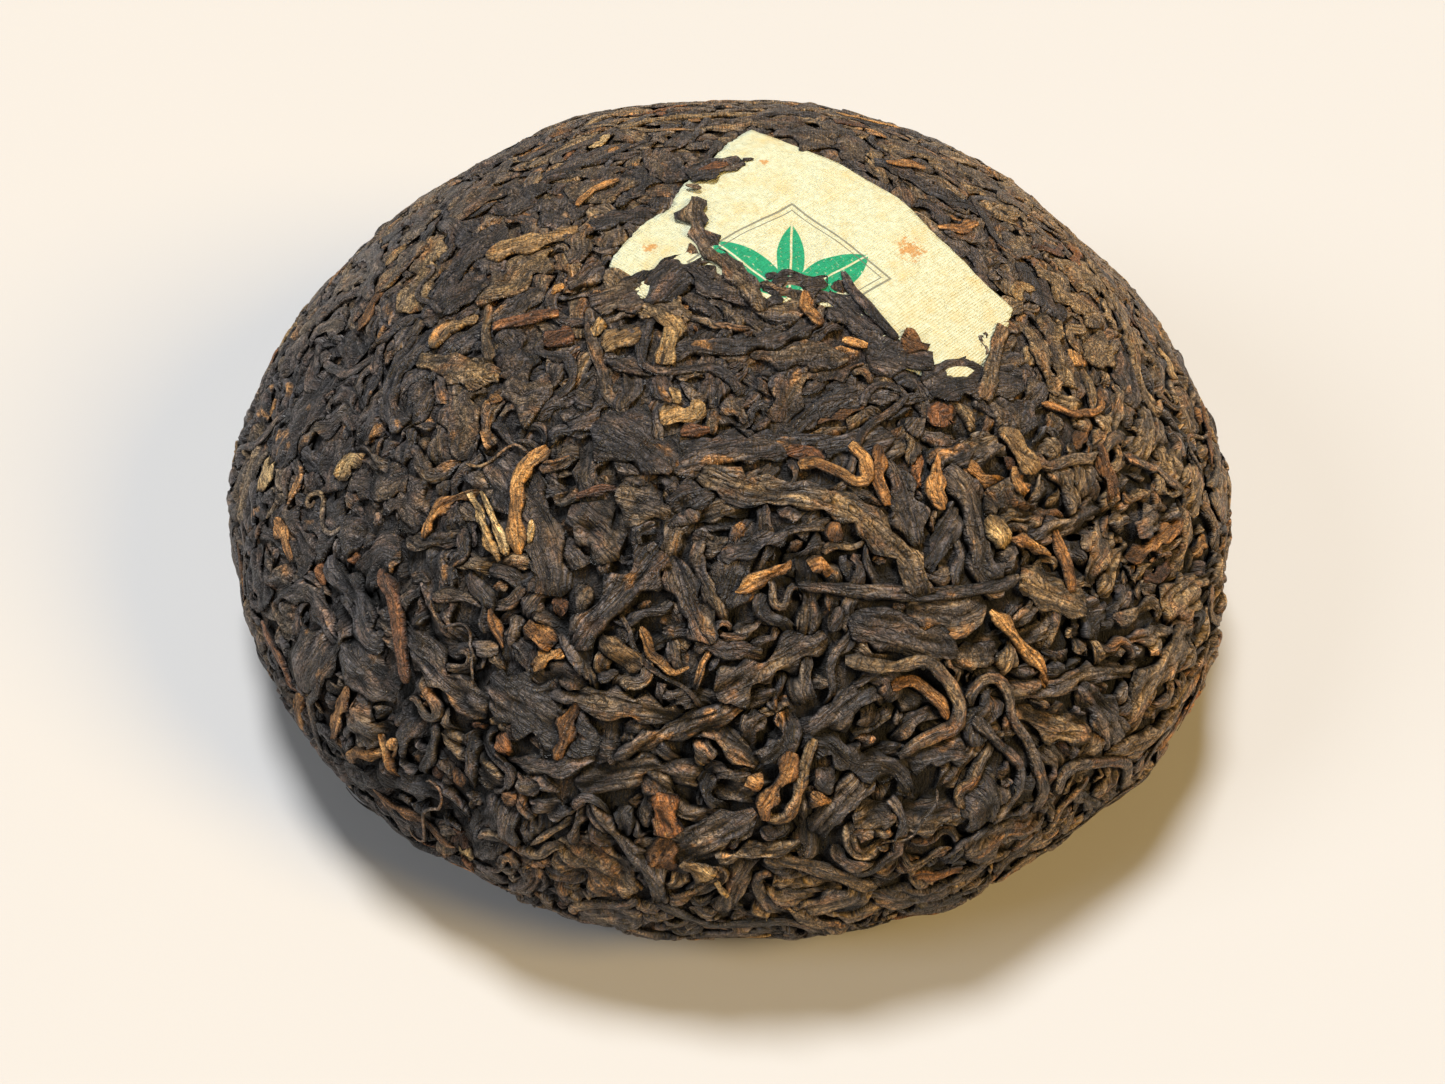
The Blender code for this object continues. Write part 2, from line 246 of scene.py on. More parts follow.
class Bed:
    """The room left under what is already laid on a surface, on a flat map of it."""

    CELL = 0.2
    MARGIN = 2
    SOFTNESS = 1.3  # makes a field's hills about as wide as its wavelength

    def __init__(self, surface, press_at, swell_at, limit):
        self.surface = surface
        self.half = surface.s[-1] + self.MARGIN
        self.count = int(2 * self.half / self.CELL)
        axis = (np.arange(self.count) + 0.5) * self.CELL - self.half
        x, y = np.meshgrid(axis, axis, indexing="ij")
        s = np.hypot(x, y)
        place, self.normal = surface.at(s, np.arctan2(y, x))
        self.place = place
        self.press = press_at(place)
        self.cloth = swell_at(place, self.field)
        self.ceiling = self.cloth.copy()
        self.covered = s > limit
        self.weight = np.where(s < limit, np.hypot(place[..., 0], place[..., 1]) / (s + 0.01), 0)
        self.keep_out = np.zeros_like(self.covered)

    def field(self, wavelength):
        """Random hills of unit height and about this width."""
        white = rng.standard_normal((self.count, self.count))
        f = np.fft.fftfreq(self.count, self.CELL)
        pass_band = np.exp(-((f[:, None] ** 2 + f**2) * (wavelength * self.SOFTNESS) ** 2))
        hills = np.fft.ifft2(np.fft.fft2(white) * pass_band).real
        return hills / hills.std()

    def cells(self, x, y):
        i = ((x + self.half) / self.CELL).astype(int)
        j = ((y + self.half) / self.CELL).astype(int)
        return np.clip(i, 0, self.count - 1), np.clip(j, 0, self.count - 1)

    def between(self, grid, x, y):
        return sample(grid, (x + self.half) / self.CELL - 0.5, (y + self.half) / self.CELL - 0.5)

    def open_places(self, count, where=None):
        """Random points of the surface that nothing covers yet."""
        weight = np.where(self.covered | self.keep_out, 0, self.weight)
        if where is not None:
            weight = weight * where
        chance = weight.ravel() / weight.sum()
        picked = rng.choice(chance.size, count, p=chance)
        return self.place.reshape(-1, 3)[picked]


# ---- kinds of leaf


@dataclass
class Kind:
    """Sizes of one kind of leaf, most drawn between two values, and how finely it is meshed."""

    length: tuple
    width: tuple
    thick: tuple
    stations: int
    columns: int
    fold: float  # width of one lengthwise fold
    fold_depth: float
    crumple: float  # height of the small dents
    curve: float  # usual turn of the route from end to end, radians
    hook: float  # chance of a hooked end
    tips: tuple  # length over which an end narrows
    ragged: float = 0.06  # how uneven the edges are, as a share of the width
    stretch: float = 7.0  # a fold's length over its width
    rise: float = 0.0  # how far it stands above its neighbours


ROLLED = Kind(
    length=(7, 18), width=(1.1, 2.6), thick=(0.9, 1.4), stations=24, columns=13,
    fold=0.62, fold_depth=0.42, stretch=6.0, crumple=0.14, ragged=0.14,
    curve=1.1, hook=0.15, tips=(0.4, 2.2),
)  # fmt: skip
SHORT = Kind(
    length=(3.2, 7.5), width=(0.9, 2.4), thick=(0.7, 1.3), stations=14, columns=11,
    fold=0.6, fold_depth=0.4, stretch=4.2, crumple=0.16, ragged=0.17,
    curve=1.4, hook=0.2, tips=(0.3, 1.6),
)  # fmt: skip
CURLED = Kind(
    length=(4, 10), width=(0.5, 1.3), thick=(0.6, 1.2), stations=21, columns=9,
    fold=0.6, fold_depth=0.24, crumple=0.07, ragged=0.09,
    curve=3.4, hook=0.5, tips=(0.5, 1.8),
)  # fmt: skip
SCRAP = Kind(
    length=(1.6, 4.2), width=(0.7, 2.0), thick=(0.5, 1.0), stations=8, columns=9,
    fold=0.6, fold_depth=0.28, stretch=3.0, crumple=0.15, ragged=0.2,
    curve=1.3, hook=0.0, tips=(0.3, 1.0),
)  # fmt: skip
BROAD = Kind(
    length=(5, 11), width=(2.6, 4.4), thick=(0.6, 1.0), stations=17, columns=18,
    fold=0.85, fold_depth=0.36, stretch=5.0, crumple=0.14, ragged=0.12,
    curve=0.8, hook=0.0, tips=(1.0, 3.0),
)  # fmt: skip
MATTED = Kind(
    length=(4, 9), width=(2.2, 4.4), thick=(0.9, 1.3), stations=18, columns=19,
    fold=0.7, fold_depth=0.38, stretch=3.0, crumple=0.2, ragged=0.14,
    curve=1.0, hook=0.0, tips=(1.0, 3.0),
)  # fmt: skip
STEM = Kind(
    length=(6, 18), width=(0.45, 1.1), thick=(0.5, 0.9), stations=24, columns=7,
    fold=0.6, fold_depth=0.09, crumple=0.04,
    curve=2.6, hook=0.45, tips=(0.3, 0.8),
)  # fmt: skip
STRAND = Kind(
    length=(6, 14), width=(0.24, 0.42), thick=(0.28, 0.4), stations=22, columns=5,
    fold=0.8, fold_depth=0.0, crumple=0.0, ragged=0.0,
    curve=2.4, hook=0.3, tips=(0.2, 0.5), rise=0.1,
)  # fmt: skip
BUD = Kind(
    length=(3.5, 8.5), width=(0.7, 1.5), thick=(0.55, 0.85), stations=16, columns=9,
    fold=0.5, fold_depth=0.17, stretch=6.0, crumple=0.08, ragged=0.14,
    curve=0.9, hook=0.1, tips=(0.4, 2.2), rise=0.03,
)  # fmt: skip
CRUMB = Kind(
    length=(0.9, 2.2), width=(0.8, 1.4), thick=(0.6, 1.0), stations=6, columns=7,
    fold=0.7, fold_depth=0.18, stretch=1.5, crumple=0.12, ragged=0.18,
    curve=0.8, hook=0.0, tips=(0.3, 0.8),
)  # fmt: skip
UNDER_SHORT = replace(SHORT, length=(4, 9), width=(1.3, 2.8), stations=11, columns=8)
UNDER_SCRAP = replace(SCRAP, length=(2, 4.8), width=(0.9, 2.2), stations=6, columns=6)


def draw(bounds, count=None):
    return rng.uniform(bounds[0], bounds[1], count)


class Heap:
    """Leaves of one piece: their points, faces and the values that their material reads."""

    MARKS = ("grain", "leaf", "cloth")  # three values each

    def __init__(self):
        self.points, self.faces, self.caps = [], [], []
        self.marks = {name: [] for name in self.MARKS}
        self.count = 0

    def add(self, rings, marks, closed=True):
        """rings is (stations, corners, 3), and so is each of the marks."""
        stations, corners, _ = rings.shape
        index = np.arange(stations * corners).reshape(stations, corners) + self.count
        turned = np.roll(index, -1, axis=1)
        quads = np.stack([index[:-1], turned[:-1], turned[1:], index[1:]], -1)
        self.faces.append(quads.reshape(-1, 4))
        if closed:
            self.caps += [index[0][::-1], index[-1]]
        self.points.append(rings.reshape(-1, 3))
        for name, values in zip(self.MARKS, marks):
            self.marks[name].append(values.reshape(-1, 3))
        self.count += stations * corners


# ---- laying one leaf

# Its outline
TIP_LIMIT = 0.45  # most of its length over which an end may narrow
BLUNT_ENDS = (0.15, 0.75)  # width of the ends, as a share of the whole
END_CURVE = (0.45, 0.8)  # power of the way from there to the full width; less is rounder
WIDTH_WAVER, WIDTH_WAVES = 0.09, (0.6, 2.5)
EVEN_COLUMNS = 0.75  # the rest of the columns' spacing is closer at the edges
NOTCH_LENGTH = 1.1  # along a ragged edge
UNDER_COLUMNS = (0.6, -0.6)  # the two rows of points on its underside

# Its section
PRESSED_THINNER = 0.62  # share of its thickness that a full press takes
END_THICKNESS, END_LENGTH, END_FULLNESS = 0.35, 1.1, 0.6
NARROW_THICKNESS = 0.55  # share of its thickness where it has no width
ROUND_SECTION, BOXIER = 2.2, 3.2  # power of its section: 2 is an ellipse and more is boxy
THIN_EDGE = 0.04

# Its folds and dents, on a plane of random hills, and one overlap where an edge is rolled in
HILLS_SPAN = (0, 500)  # where on the plane a leaf may lie
EDGES_APART = 7
TWIST, TWIST_LENGTH = 0.5, 10  # how many folds they run sideways over this length
FOLD_SHARPNESS, FOLD_MEAN = 0.6, 0.95
DENT_WIDTH, DENT_LENGTH = 1.0, 1.5
OVERLAP_PLACE, OVERLAP_WAVER, OVERLAP_WAVES = (-0.5, 0.5), 0.3, (0.4, 1.5)
OVERLAP_HEIGHT, OVERLAP_SHARPNESS = (-0.5, 0.5), 7
RELIEF_PRESSED_OUT, RELIEF_KEPT_BELOW = 0.45, 0.4  # share, and the press up to which all is kept

# How it lies
SQUEEZE = 0.62  # share of its width that may be pressed down under its neighbours
LIMPNESS = 2  # stations over which it bends
STEEPEST, TILT_SPREAD = 0.3, 0.10
HEAVE, HEAVE_WAVES, FULL_HEAVE_LENGTH = 0.18, (0.5, 1.6), 6  # how far it rises and dips
LIFT, PRESSED_LIFT, SUNK = 0.12, 0.08, (0, 0.5)  # above its place, and below it where loose
GIVE = 0.34  # share of its relief that it keeps under the cloth
FLAT_AFTER = 0.12  # how much the cloth takes off a place that it leaves flat
LOWEST = 0.05  # nothing sinks into the floor
MOST_PAPER_COVERED = 0.03  # share of a leaf that may lie over a kept-out place
ROW_CELL, COLUMN_CELL = 0.17, 0.13  # spacing at which it covers the bed

# The marks that its material reads
FELTED, FELTED_RIDGE = 0.65, 0.85  # how even the light is on a fully pressed leaf, and that light
NUMBERS, NUMBER_STEP = (0, 100), 10  # keep the patterns of the leaves apart
# how deep below the cloth a place may count; the material darkens depth as painted shade
DEEPEST_MARK = 3

TILE, HILLS = 512, 32  # cells and hills along one side of the plane, which then repeats


def make_tile():
    """Random hills of unit height and unit width that repeat in both directions."""
    f = np.fft.fftfreq(TILE, 1 / HILLS)
    distance = np.hypot(f[:, None], f)
    band = np.exp(-(((distance - 1) / 0.45) ** 2)) * (distance > 0)
    hills = np.fft.ifft2(np.fft.fft2(rng.standard_normal((TILE, TILE))) * band).real
    return hills / hills.std()


HILL_TILE = make_tile()


def hills_at(x, y):
    """The hills' height at places measured in hills."""
    i = (x * TILE / HILLS) % TILE
    j = (y * TILE / HILLS) % TILE
    a, b = i.astype(int) % TILE, j.astype(int) % TILE
    f, g = i - np.floor(i), j - np.floor(j)
    low = HILL_TILE[a, b] * (1 - g) + HILL_TILE[a, (b + 1) % TILE] * g
    a = (a + 1) % TILE
    high = HILL_TILE[a, b] * (1 - g) + HILL_TILE[a, (b + 1) % TILE] * g
    return low * (1 - f) + high * f


@lru_cache(maxsize=None)
def between_rows(count, finer):
    """The matrix that puts this many points between each pair of rows."""
    place = np.linspace(0, count - 1, (count - 1) * finer + 1)
    low = np.minimum(place.astype(int), count - 2)
    matrix = np.zeros((len(place), count))
    matrix[np.arange(len(place)), low] = 1 - (place - low)
    matrix[np.arange(len(place)), low + 1] = place - low
    return matrix


def wander(t, waves_along):
    """A smooth random line of about unit height along a leaf, made of three waves."""
    waves = draw(waves_along, 3)
    phases = draw((0, 2 * math.pi), 3)
    sizes = 1 / waves
    line = (sizes[:, None] * np.sin(2 * math.pi * waves[:, None] * t + phases[:, None])).sum(0)
    return line / np.sqrt((sizes**2).sum() / 2)


def joined(*values):
    """Some values for each corner or place as one array."""
    return np.stack(np.broadcast_arrays(*values), -1)


class Leaf:
    """One leaf: a strip of stations along its route and columns across it, from u -1 to 1."""

    AT_STATIONS = ("x", "y", "s", "azimuth", "cloth", "top", "under")
    AT_STATIONS += ("offset", "distance", "ridge", "flattened")

    def __init__(self, kind, route, width, thick):
        self.kind, self.width, self.thick = kind, width, thick
        self.points, self.normals = route
        self.t = np.linspace(0, 1, len(self.points))
        self.along = np.gradient(self.points, axis=0)
        self.spacing = np.linalg.norm(self.along, axis=1)
        self.distance = np.cumsum(self.spacing) - self.spacing[0]
        self.length = self.distance[-1]
        self.along /= self.spacing[:, None]
        line = np.linspace(-1, 1, kind.columns)
        self.u = EVEN_COLUMNS * line + (1 - EVEN_COLUMNS) * np.sin(line * math.pi / 2)
        self.draw_outline()
        self.corner = draw(HILLS_SPAN, 2)
        self.draw_edges()

    def draw_outline(self):
        """The half width at each station, as a share of the full one."""
        tips = np.minimum(draw(self.kind.tips, 2), self.length * TIP_LIMIT)
        from_start = np.clip(self.distance / tips[0], 0, 1)
        narrow = from_start * np.clip((self.length - self.distance) / tips[1], 0, 1)
        blunt = draw(BLUNT_ENDS)
        self.outline = blunt + (1 - blunt) * narrow ** draw(END_CURVE)
        self.outline *= 1 + WIDTH_WAVER * wander(self.t, WIDTH_WAVES)

    def draw_edges(self):
        """How far each column lies from the route, with ragged edges."""
        notch = self.corner[0] + self.distance / NOTCH_LENGTH
        left = hills_at(notch, self.corner[1])[:, None]
        right = hills_at(notch, self.corner[1] + EDGES_APART)[:, None]
        ragged = np.where(self.u < 0, left, right) * self.kind.ragged * self.width
        half = self.width / 2 * self.outline
        bulge = ragged * self.u * np.abs(self.u) * self.outline[:, None]
        self.offset = half[:, None] * self.u + bulge

    def place_on(self, bed):
        """Finds each point's cell of the bed and what already lies there."""
        across = np.cross(self.normals, self.along)
        across /= np.linalg.norm(across, axis=1, keepdims=True)
        base = self.points[:, None] + across[:, None] * self.offset[..., None]
        self.s, self.azimuth = bed.surface.locate(base)
        self.x, self.y = self.s * np.cos(self.azimuth), self.s * np.sin(self.azimuth)
        self.cells = bed.cells(self.x, self.y)
        self.covered = bed.covered[self.cells]

    def shows_enough(self, bed, shown):
        if 1 - self.covered.mean() < shown:
            return False
        return bed.keep_out[self.cells].mean() <= MOST_PAPER_COVERED or shown == 0

    def find_level(self, bed):
        """Where its middle plane would lie: under its lowest neighbours, tilted with them."""
        self.cloth = bed.between(bed.cloth, self.x, self.y)
        self.roof = np.where(self.covered, bed.ceiling[self.cells], self.cloth)
        self.press = bed.press[self.cells].mean()
        third = max(1, self.kind.columns // 3)
        left, right = self.roof[:, :third].mean(1), self.roof[:, -third:].mean(1)
        level = np.sort(self.roof, axis=1)[:, int(SQUEEZE * self.kind.columns)]
        level = smooth_rows(level, LIMPNESS)
        tilt = smooth_rows(np.clip((right - left) / 2, -STEEPEST, STEEPEST), LIMPNESS)
        tilt = tilt + rng.normal(0, TILT_SPREAD) * (1 - self.press) * min(self.width, 2)
        conform = np.clip(2 * self.press - 0.9, 0, 1)  # to its neighbours' form, where well pressed
        near_roof = smooth_rows(smooth_rows(self.roof, 1).T, 1).T
        self.level = level[:, None] * (1 - conform) + near_roof * conform
        self.tilt = (1 - conform) * tilt[:, None] * self.u

    def find_section(self):
        """Its thickness along it, and how full its section is across it: boxy where pressed."""
        from_end = np.minimum(self.distance, self.length - self.distance)
        self.thick = self.thick * (1 - PRESSED_THINNER * self.press)
        full = np.clip(from_end / END_LENGTH, 0, 1) ** END_FULLNESS
        ends = END_THICKNESS + (1 - END_THICKNESS) * full
        sides = NARROW_THICKNESS + (1 - NARROW_THICKNESS) * self.outline
        self.thickness = self.thick * ends * sides
        boxy = ROUND_SECTION + BOXIER * self.press
        self.body = np.clip(1 - np.abs(self.u) ** boxy, 0, 1) ** (1 / boxy)

    def fold(self):
        """The relief of its upper face: lengthwise folds, one overlap and small dents."""
        kind, corner, along = self.kind, self.corner, self.distance[:, None]
        twist = rng.normal(0, TWIST) * self.length / TWIST_LENGTH
        folds = hills_at(
            corner[0] + self.offset / kind.fold + (twist * self.t)[:, None],
            corner[1] + along / (kind.fold * kind.stretch),
        )
        self.ridge = np.abs(folds) ** FOLD_SHARPNESS
        dents = hills_at(corner[0] + self.offset / DENT_WIDTH, corner[1] + along / DENT_LENGTH)
        edge = draw(OVERLAP_PLACE) + OVERLAP_WAVER * wander(self.t, OVERLAP_WAVES)
        overlap = np.tanh((self.u - edge[:, None]) * OVERLAP_SHARPNESS) * draw(OVERLAP_HEIGHT)
        relief = kind.fold_depth * (self.ridge - FOLD_MEAN + overlap) + kind.crumple * dents
        relief *= np.clip(self.body * 1.5, 0, 1) * np.clip(self.outline * 1.4, 0, 1)[:, None]
        self.relief = relief * (1 - RELIEF_PRESSED_OUT * max(0, self.press - RELIEF_KEPT_BELOW))

    def settle(self, rise):
        """Its upper face, under the cloth and its neighbours, and its lower face."""
        heave = HEAVE * (1 - 0.75 * self.press) * wander(self.t, HEAVE_WAVES)
        heave *= min(1, self.length / FULL_HEAVE_LENGTH)
        sunk = draw(SUNK) * (1 - self.press)
        lift = rise + self.kind.rise + LIFT + PRESSED_LIFT * self.press - sunk
        middle = self.level + (lift - self.thick / 2 + heave)[:, None] + self.tilt
        half = self.thickness[:, None] / 2 * self.body
        free_top = middle + half + self.relief
        cloth_top = self.roof + rise + self.kind.rise + GIVE * np.clip(free_top - self.roof, 0, 1)
        self.top = np.minimum(free_top, np.where(self.covered, self.roof, cloth_top))
        self.under = np.minimum(middle - half, self.top - THIN_EDGE)
        self.flattened = np.clip((free_top - self.top) / FLAT_AFTER, 0, 1) * (~self.covered)

    def drop_hidden_ends(self):
        """Keeps the stations that show and two beyond them."""
        seen = np.flatnonzero(~self.covered.all(1))
        kept = slice(max(seen[0] - 2, 0), seen[-1] + 3)
        for name in self.AT_STATIONS:
            setattr(self, name, getattr(self, name)[kept])

    def cover(self, bed):
        """Lowers the bed's ceiling to the leaf's underside."""
        finer_rows = max(1, math.ceil(self.spacing.mean() / ROW_CELL))
        finer_columns = max(1, math.ceil(self.width / self.kind.columns / COLUMN_CELL))
        rows = between_rows(len(self.x), finer_rows)
        columns = between_rows(self.kind.columns, finer_columns).T
        cells = bed.cells(rows @ self.x @ columns, rows @ self.y @ columns)
        np.minimum.at(bed.ceiling, cells, rows @ self.under @ columns)
        bed.covered[cells] = True

    def add_to(self, heap, bed, tint):
        last = self.kind.columns - 1
        below = [int(round((u + 1) / 2 * last)) for u in UNDER_COLUMNS]
        ground, out = bed.surface.at(self.s, self.azimuth)
        upper = ground + out * self.top[..., None]
        lower = ground[:, below] + out[:, below] * self.under[:, below, None]
        rings = np.concatenate([upper, lower], 1)
        rings[..., 2] = np.maximum(rings[..., 2], LOWEST)

        round_it = np.r_[np.arange(self.kind.columns), below]
        only_above = ((0, 0), (0, len(below)))
        number = draw(NUMBERS)
        aside = self.offset[:, round_it] + NUMBER_STEP * number
        grain = joined(aside, self.distance[:, None], number)
        # lit is painted light: light on the folds' ridges and dark in their valleys, evened out where the
        # leaf is felted
        lit = np.clip(self.ridge / 1.1, 0, 1) * np.clip(self.body * 1.3, 0, 1)
        felted = FELTED * np.clip(self.press * 2.5 - 1.5, 0, 1)
        lit = np.pad(lit + (FELTED_RIDGE - lit) * felted, only_above)
        pressed = np.pad(self.flattened * np.clip(self.press * 2 - 1, 0, 1), only_above)
        levels = np.concatenate([self.top, self.under[:, below]], 1)
        # depth below the cloth, which the material darkens as painted shade, less where felted
        depth = np.clip(self.cloth[:, round_it] - levels, 0, DEEPEST_MARK) * (1 - felted / 2)
        cloth = joined(self.x[:, round_it], self.y[:, round_it], depth)
        heap.add(rings, (grain, joined(tint, lit, pressed), cloth))


def lay(bed, heap, kind, route, width, thick, tint, shown, rise=0.0):
    """Lays one leaf along a route, if this share of it would show."""
    leaf = Leaf(kind, route, width, thick)
    leaf.place_on(bed)
    if leaf.shows_enough(bed, shown):
        leaf.find_level(bed)
        leaf.find_section()
        leaf.fold()
        leaf.settle(rise)
        leaf.drop_hidden_ends()
        leaf.cover(bed)
        leaf.add_to(heap, bed, tint)


# ---- routes

TIGHTEST = 0.8  # radius of a leaf's tightest bend, as a share of its width
STEADY_BEND, WAVER = 0.45, 1.6  # shares of the kind's curve
WAVES = (0.6, 1.8)
HOOK_TURN, HOOK_START, HOOK_FULL, HOOK_PART = 3.2, 0.6, 0.85, 0.28
KINKS, KINK_TURN = 1.3, 0.5  # kinks in a leaf, and how far one turns
ALONG_RIM_SPREAD = 0.35
MOSTLY_SHORT = 1.3  # power that favours the shorter lengths


def trace(surface, starts, headings, lengths, turns, count):
    """Routes on the surface through the starts. turns is each route's turn at every station."""
    s, azimuth = surface.locate(starts)
    start, start_normal = surface.at(s, azimuth)
    east = np.stack([-np.sin(azimuth), np.cos(azimuth), 0 * azimuth], -1)
    north = np.cross(start_normal, east)
    heading = np.cos(headings)[:, None] * east + np.sin(headings)[:, None] * north
    step = (lengths / (count - 1))[:, None]
    halves = []
    for sign in (-1, 1):
        point, normal, along = start, start_normal, heading * sign
        half_points, half_normals = [point], [normal]
        for k in range(count // 2):
            turn = turns[:, count // 2 + sign * k][:, None] * sign
            along = along * np.cos(turn) + np.cross(normal, along) * np.sin(turn)
            s, azimuth = surface.locate(point + along * step)
            point, normal = surface.at(s, azimuth)
            along = along - normal * (along * normal).sum(-1, keepdims=True)
            along /= np.linalg.norm(along, axis=-1, keepdims=True)
            half_points.append(point)
            half_normals.append(normal)
        halves.append((half_points, half_normals))
    (back_points, back_normals), (points, normals) = halves
    points = np.stack(back_points[:0:-1] + points, 1)[:, :count]
    normals = np.stack(back_normals[:0:-1] + normals, 1)[:, :count]
    return points, normals


def random_turns(kind, count):
    """How much each of some routes turns at every station: a steady bend, a waver and some hooks."""
    stations = np.linspace(0, 1, kind.stations + 1)
    steady = rng.normal(0, kind.curve * STEADY_BEND, count)[:, None] / kind.stations
    height = rng.normal(0, 1, (count, 1))
    waves = draw(WAVES, (count, 1))
    waver = height * np.sin(2 * math.pi * (stations * waves + draw((0, 1), (count, 1))))
    hooked = (rng.random(count) < kind.hook)[:, None] * rng.choice((-1, 1), count)[:, None]
    hook = hooked * ramp(stations, HOOK_START, HOOK_FULL) * HOOK_TURN / (HOOK_PART * kind.stations)
    kinked = rng.random((count, kind.stations + 1)) < KINKS / kind.stations
    kinks = kinked * rng.normal(0, KINK_TURN, kinked.shape)
    return steady + waver * kind.curve * WAVER / kind.stations + hook + kinks


def scatter(bed, heap, kind, starts, tints, shown, rim_bias):
    """Lays one random leaf of this kind at each start, where enough of it shows."""
    count = len(starts)
    headings = draw((0, 2 * math.pi), count)
    if rim_bias is not None:
        along_rim = rng.normal(0, ALONG_RIM_SPREAD, count) + math.pi * (rng.random(count) < 0.5)
        headings = np.where(rng.random(count) < rim_bias(starts), along_rim, headings)
    size = rng.random(count)
    lengths = kind.length[0] + (kind.length[1] - kind.length[0]) * size**MOSTLY_SHORT
    widths = draw(kind.width, count)
    sharpest = lengths / (kind.stations - 1) / (TIGHTEST * widths)
    turns = np.clip(random_turns(kind, count), -sharpest[:, None], sharpest[:, None])
    points, normals = trace(bed.surface, starts, headings, lengths, turns, kind.stations)
    for k in range(count):
        route = points[k], normals[k]
        lay(bed, heap, kind, route, widths[k], draw(kind.thick), tints[k], shown)


def even_points(points, count):
    """This many points at even distances along a line of points."""
    steps = np.linalg.norm(np.diff(points, axis=0), axis=1)
    reach = np.concatenate([[0], np.cumsum(steps)])
    at = np.linspace(0, reach[-1], count)
    return np.stack([np.interp(at, reach, points[:, k]) for k in range(3)], 1)


def route_through(surface, pixels, stations):
    """A smooth route on the surface past the places seen at some pixels."""
    dense_count = stations * 4
    dense = even_points(seen_at(pixels), dense_count)
    bends = max(1, int(dense_count / (len(pixels) * 2.6))) if len(pixels) > 2 else 1
    smooth = even_points(smooth_rows(dense, bends), stations)
    return surface.at(*surface.locate(smooth))


# ---- leaves that the photograph shows, by the pixels that they pass: piece, kind, width, tint, route

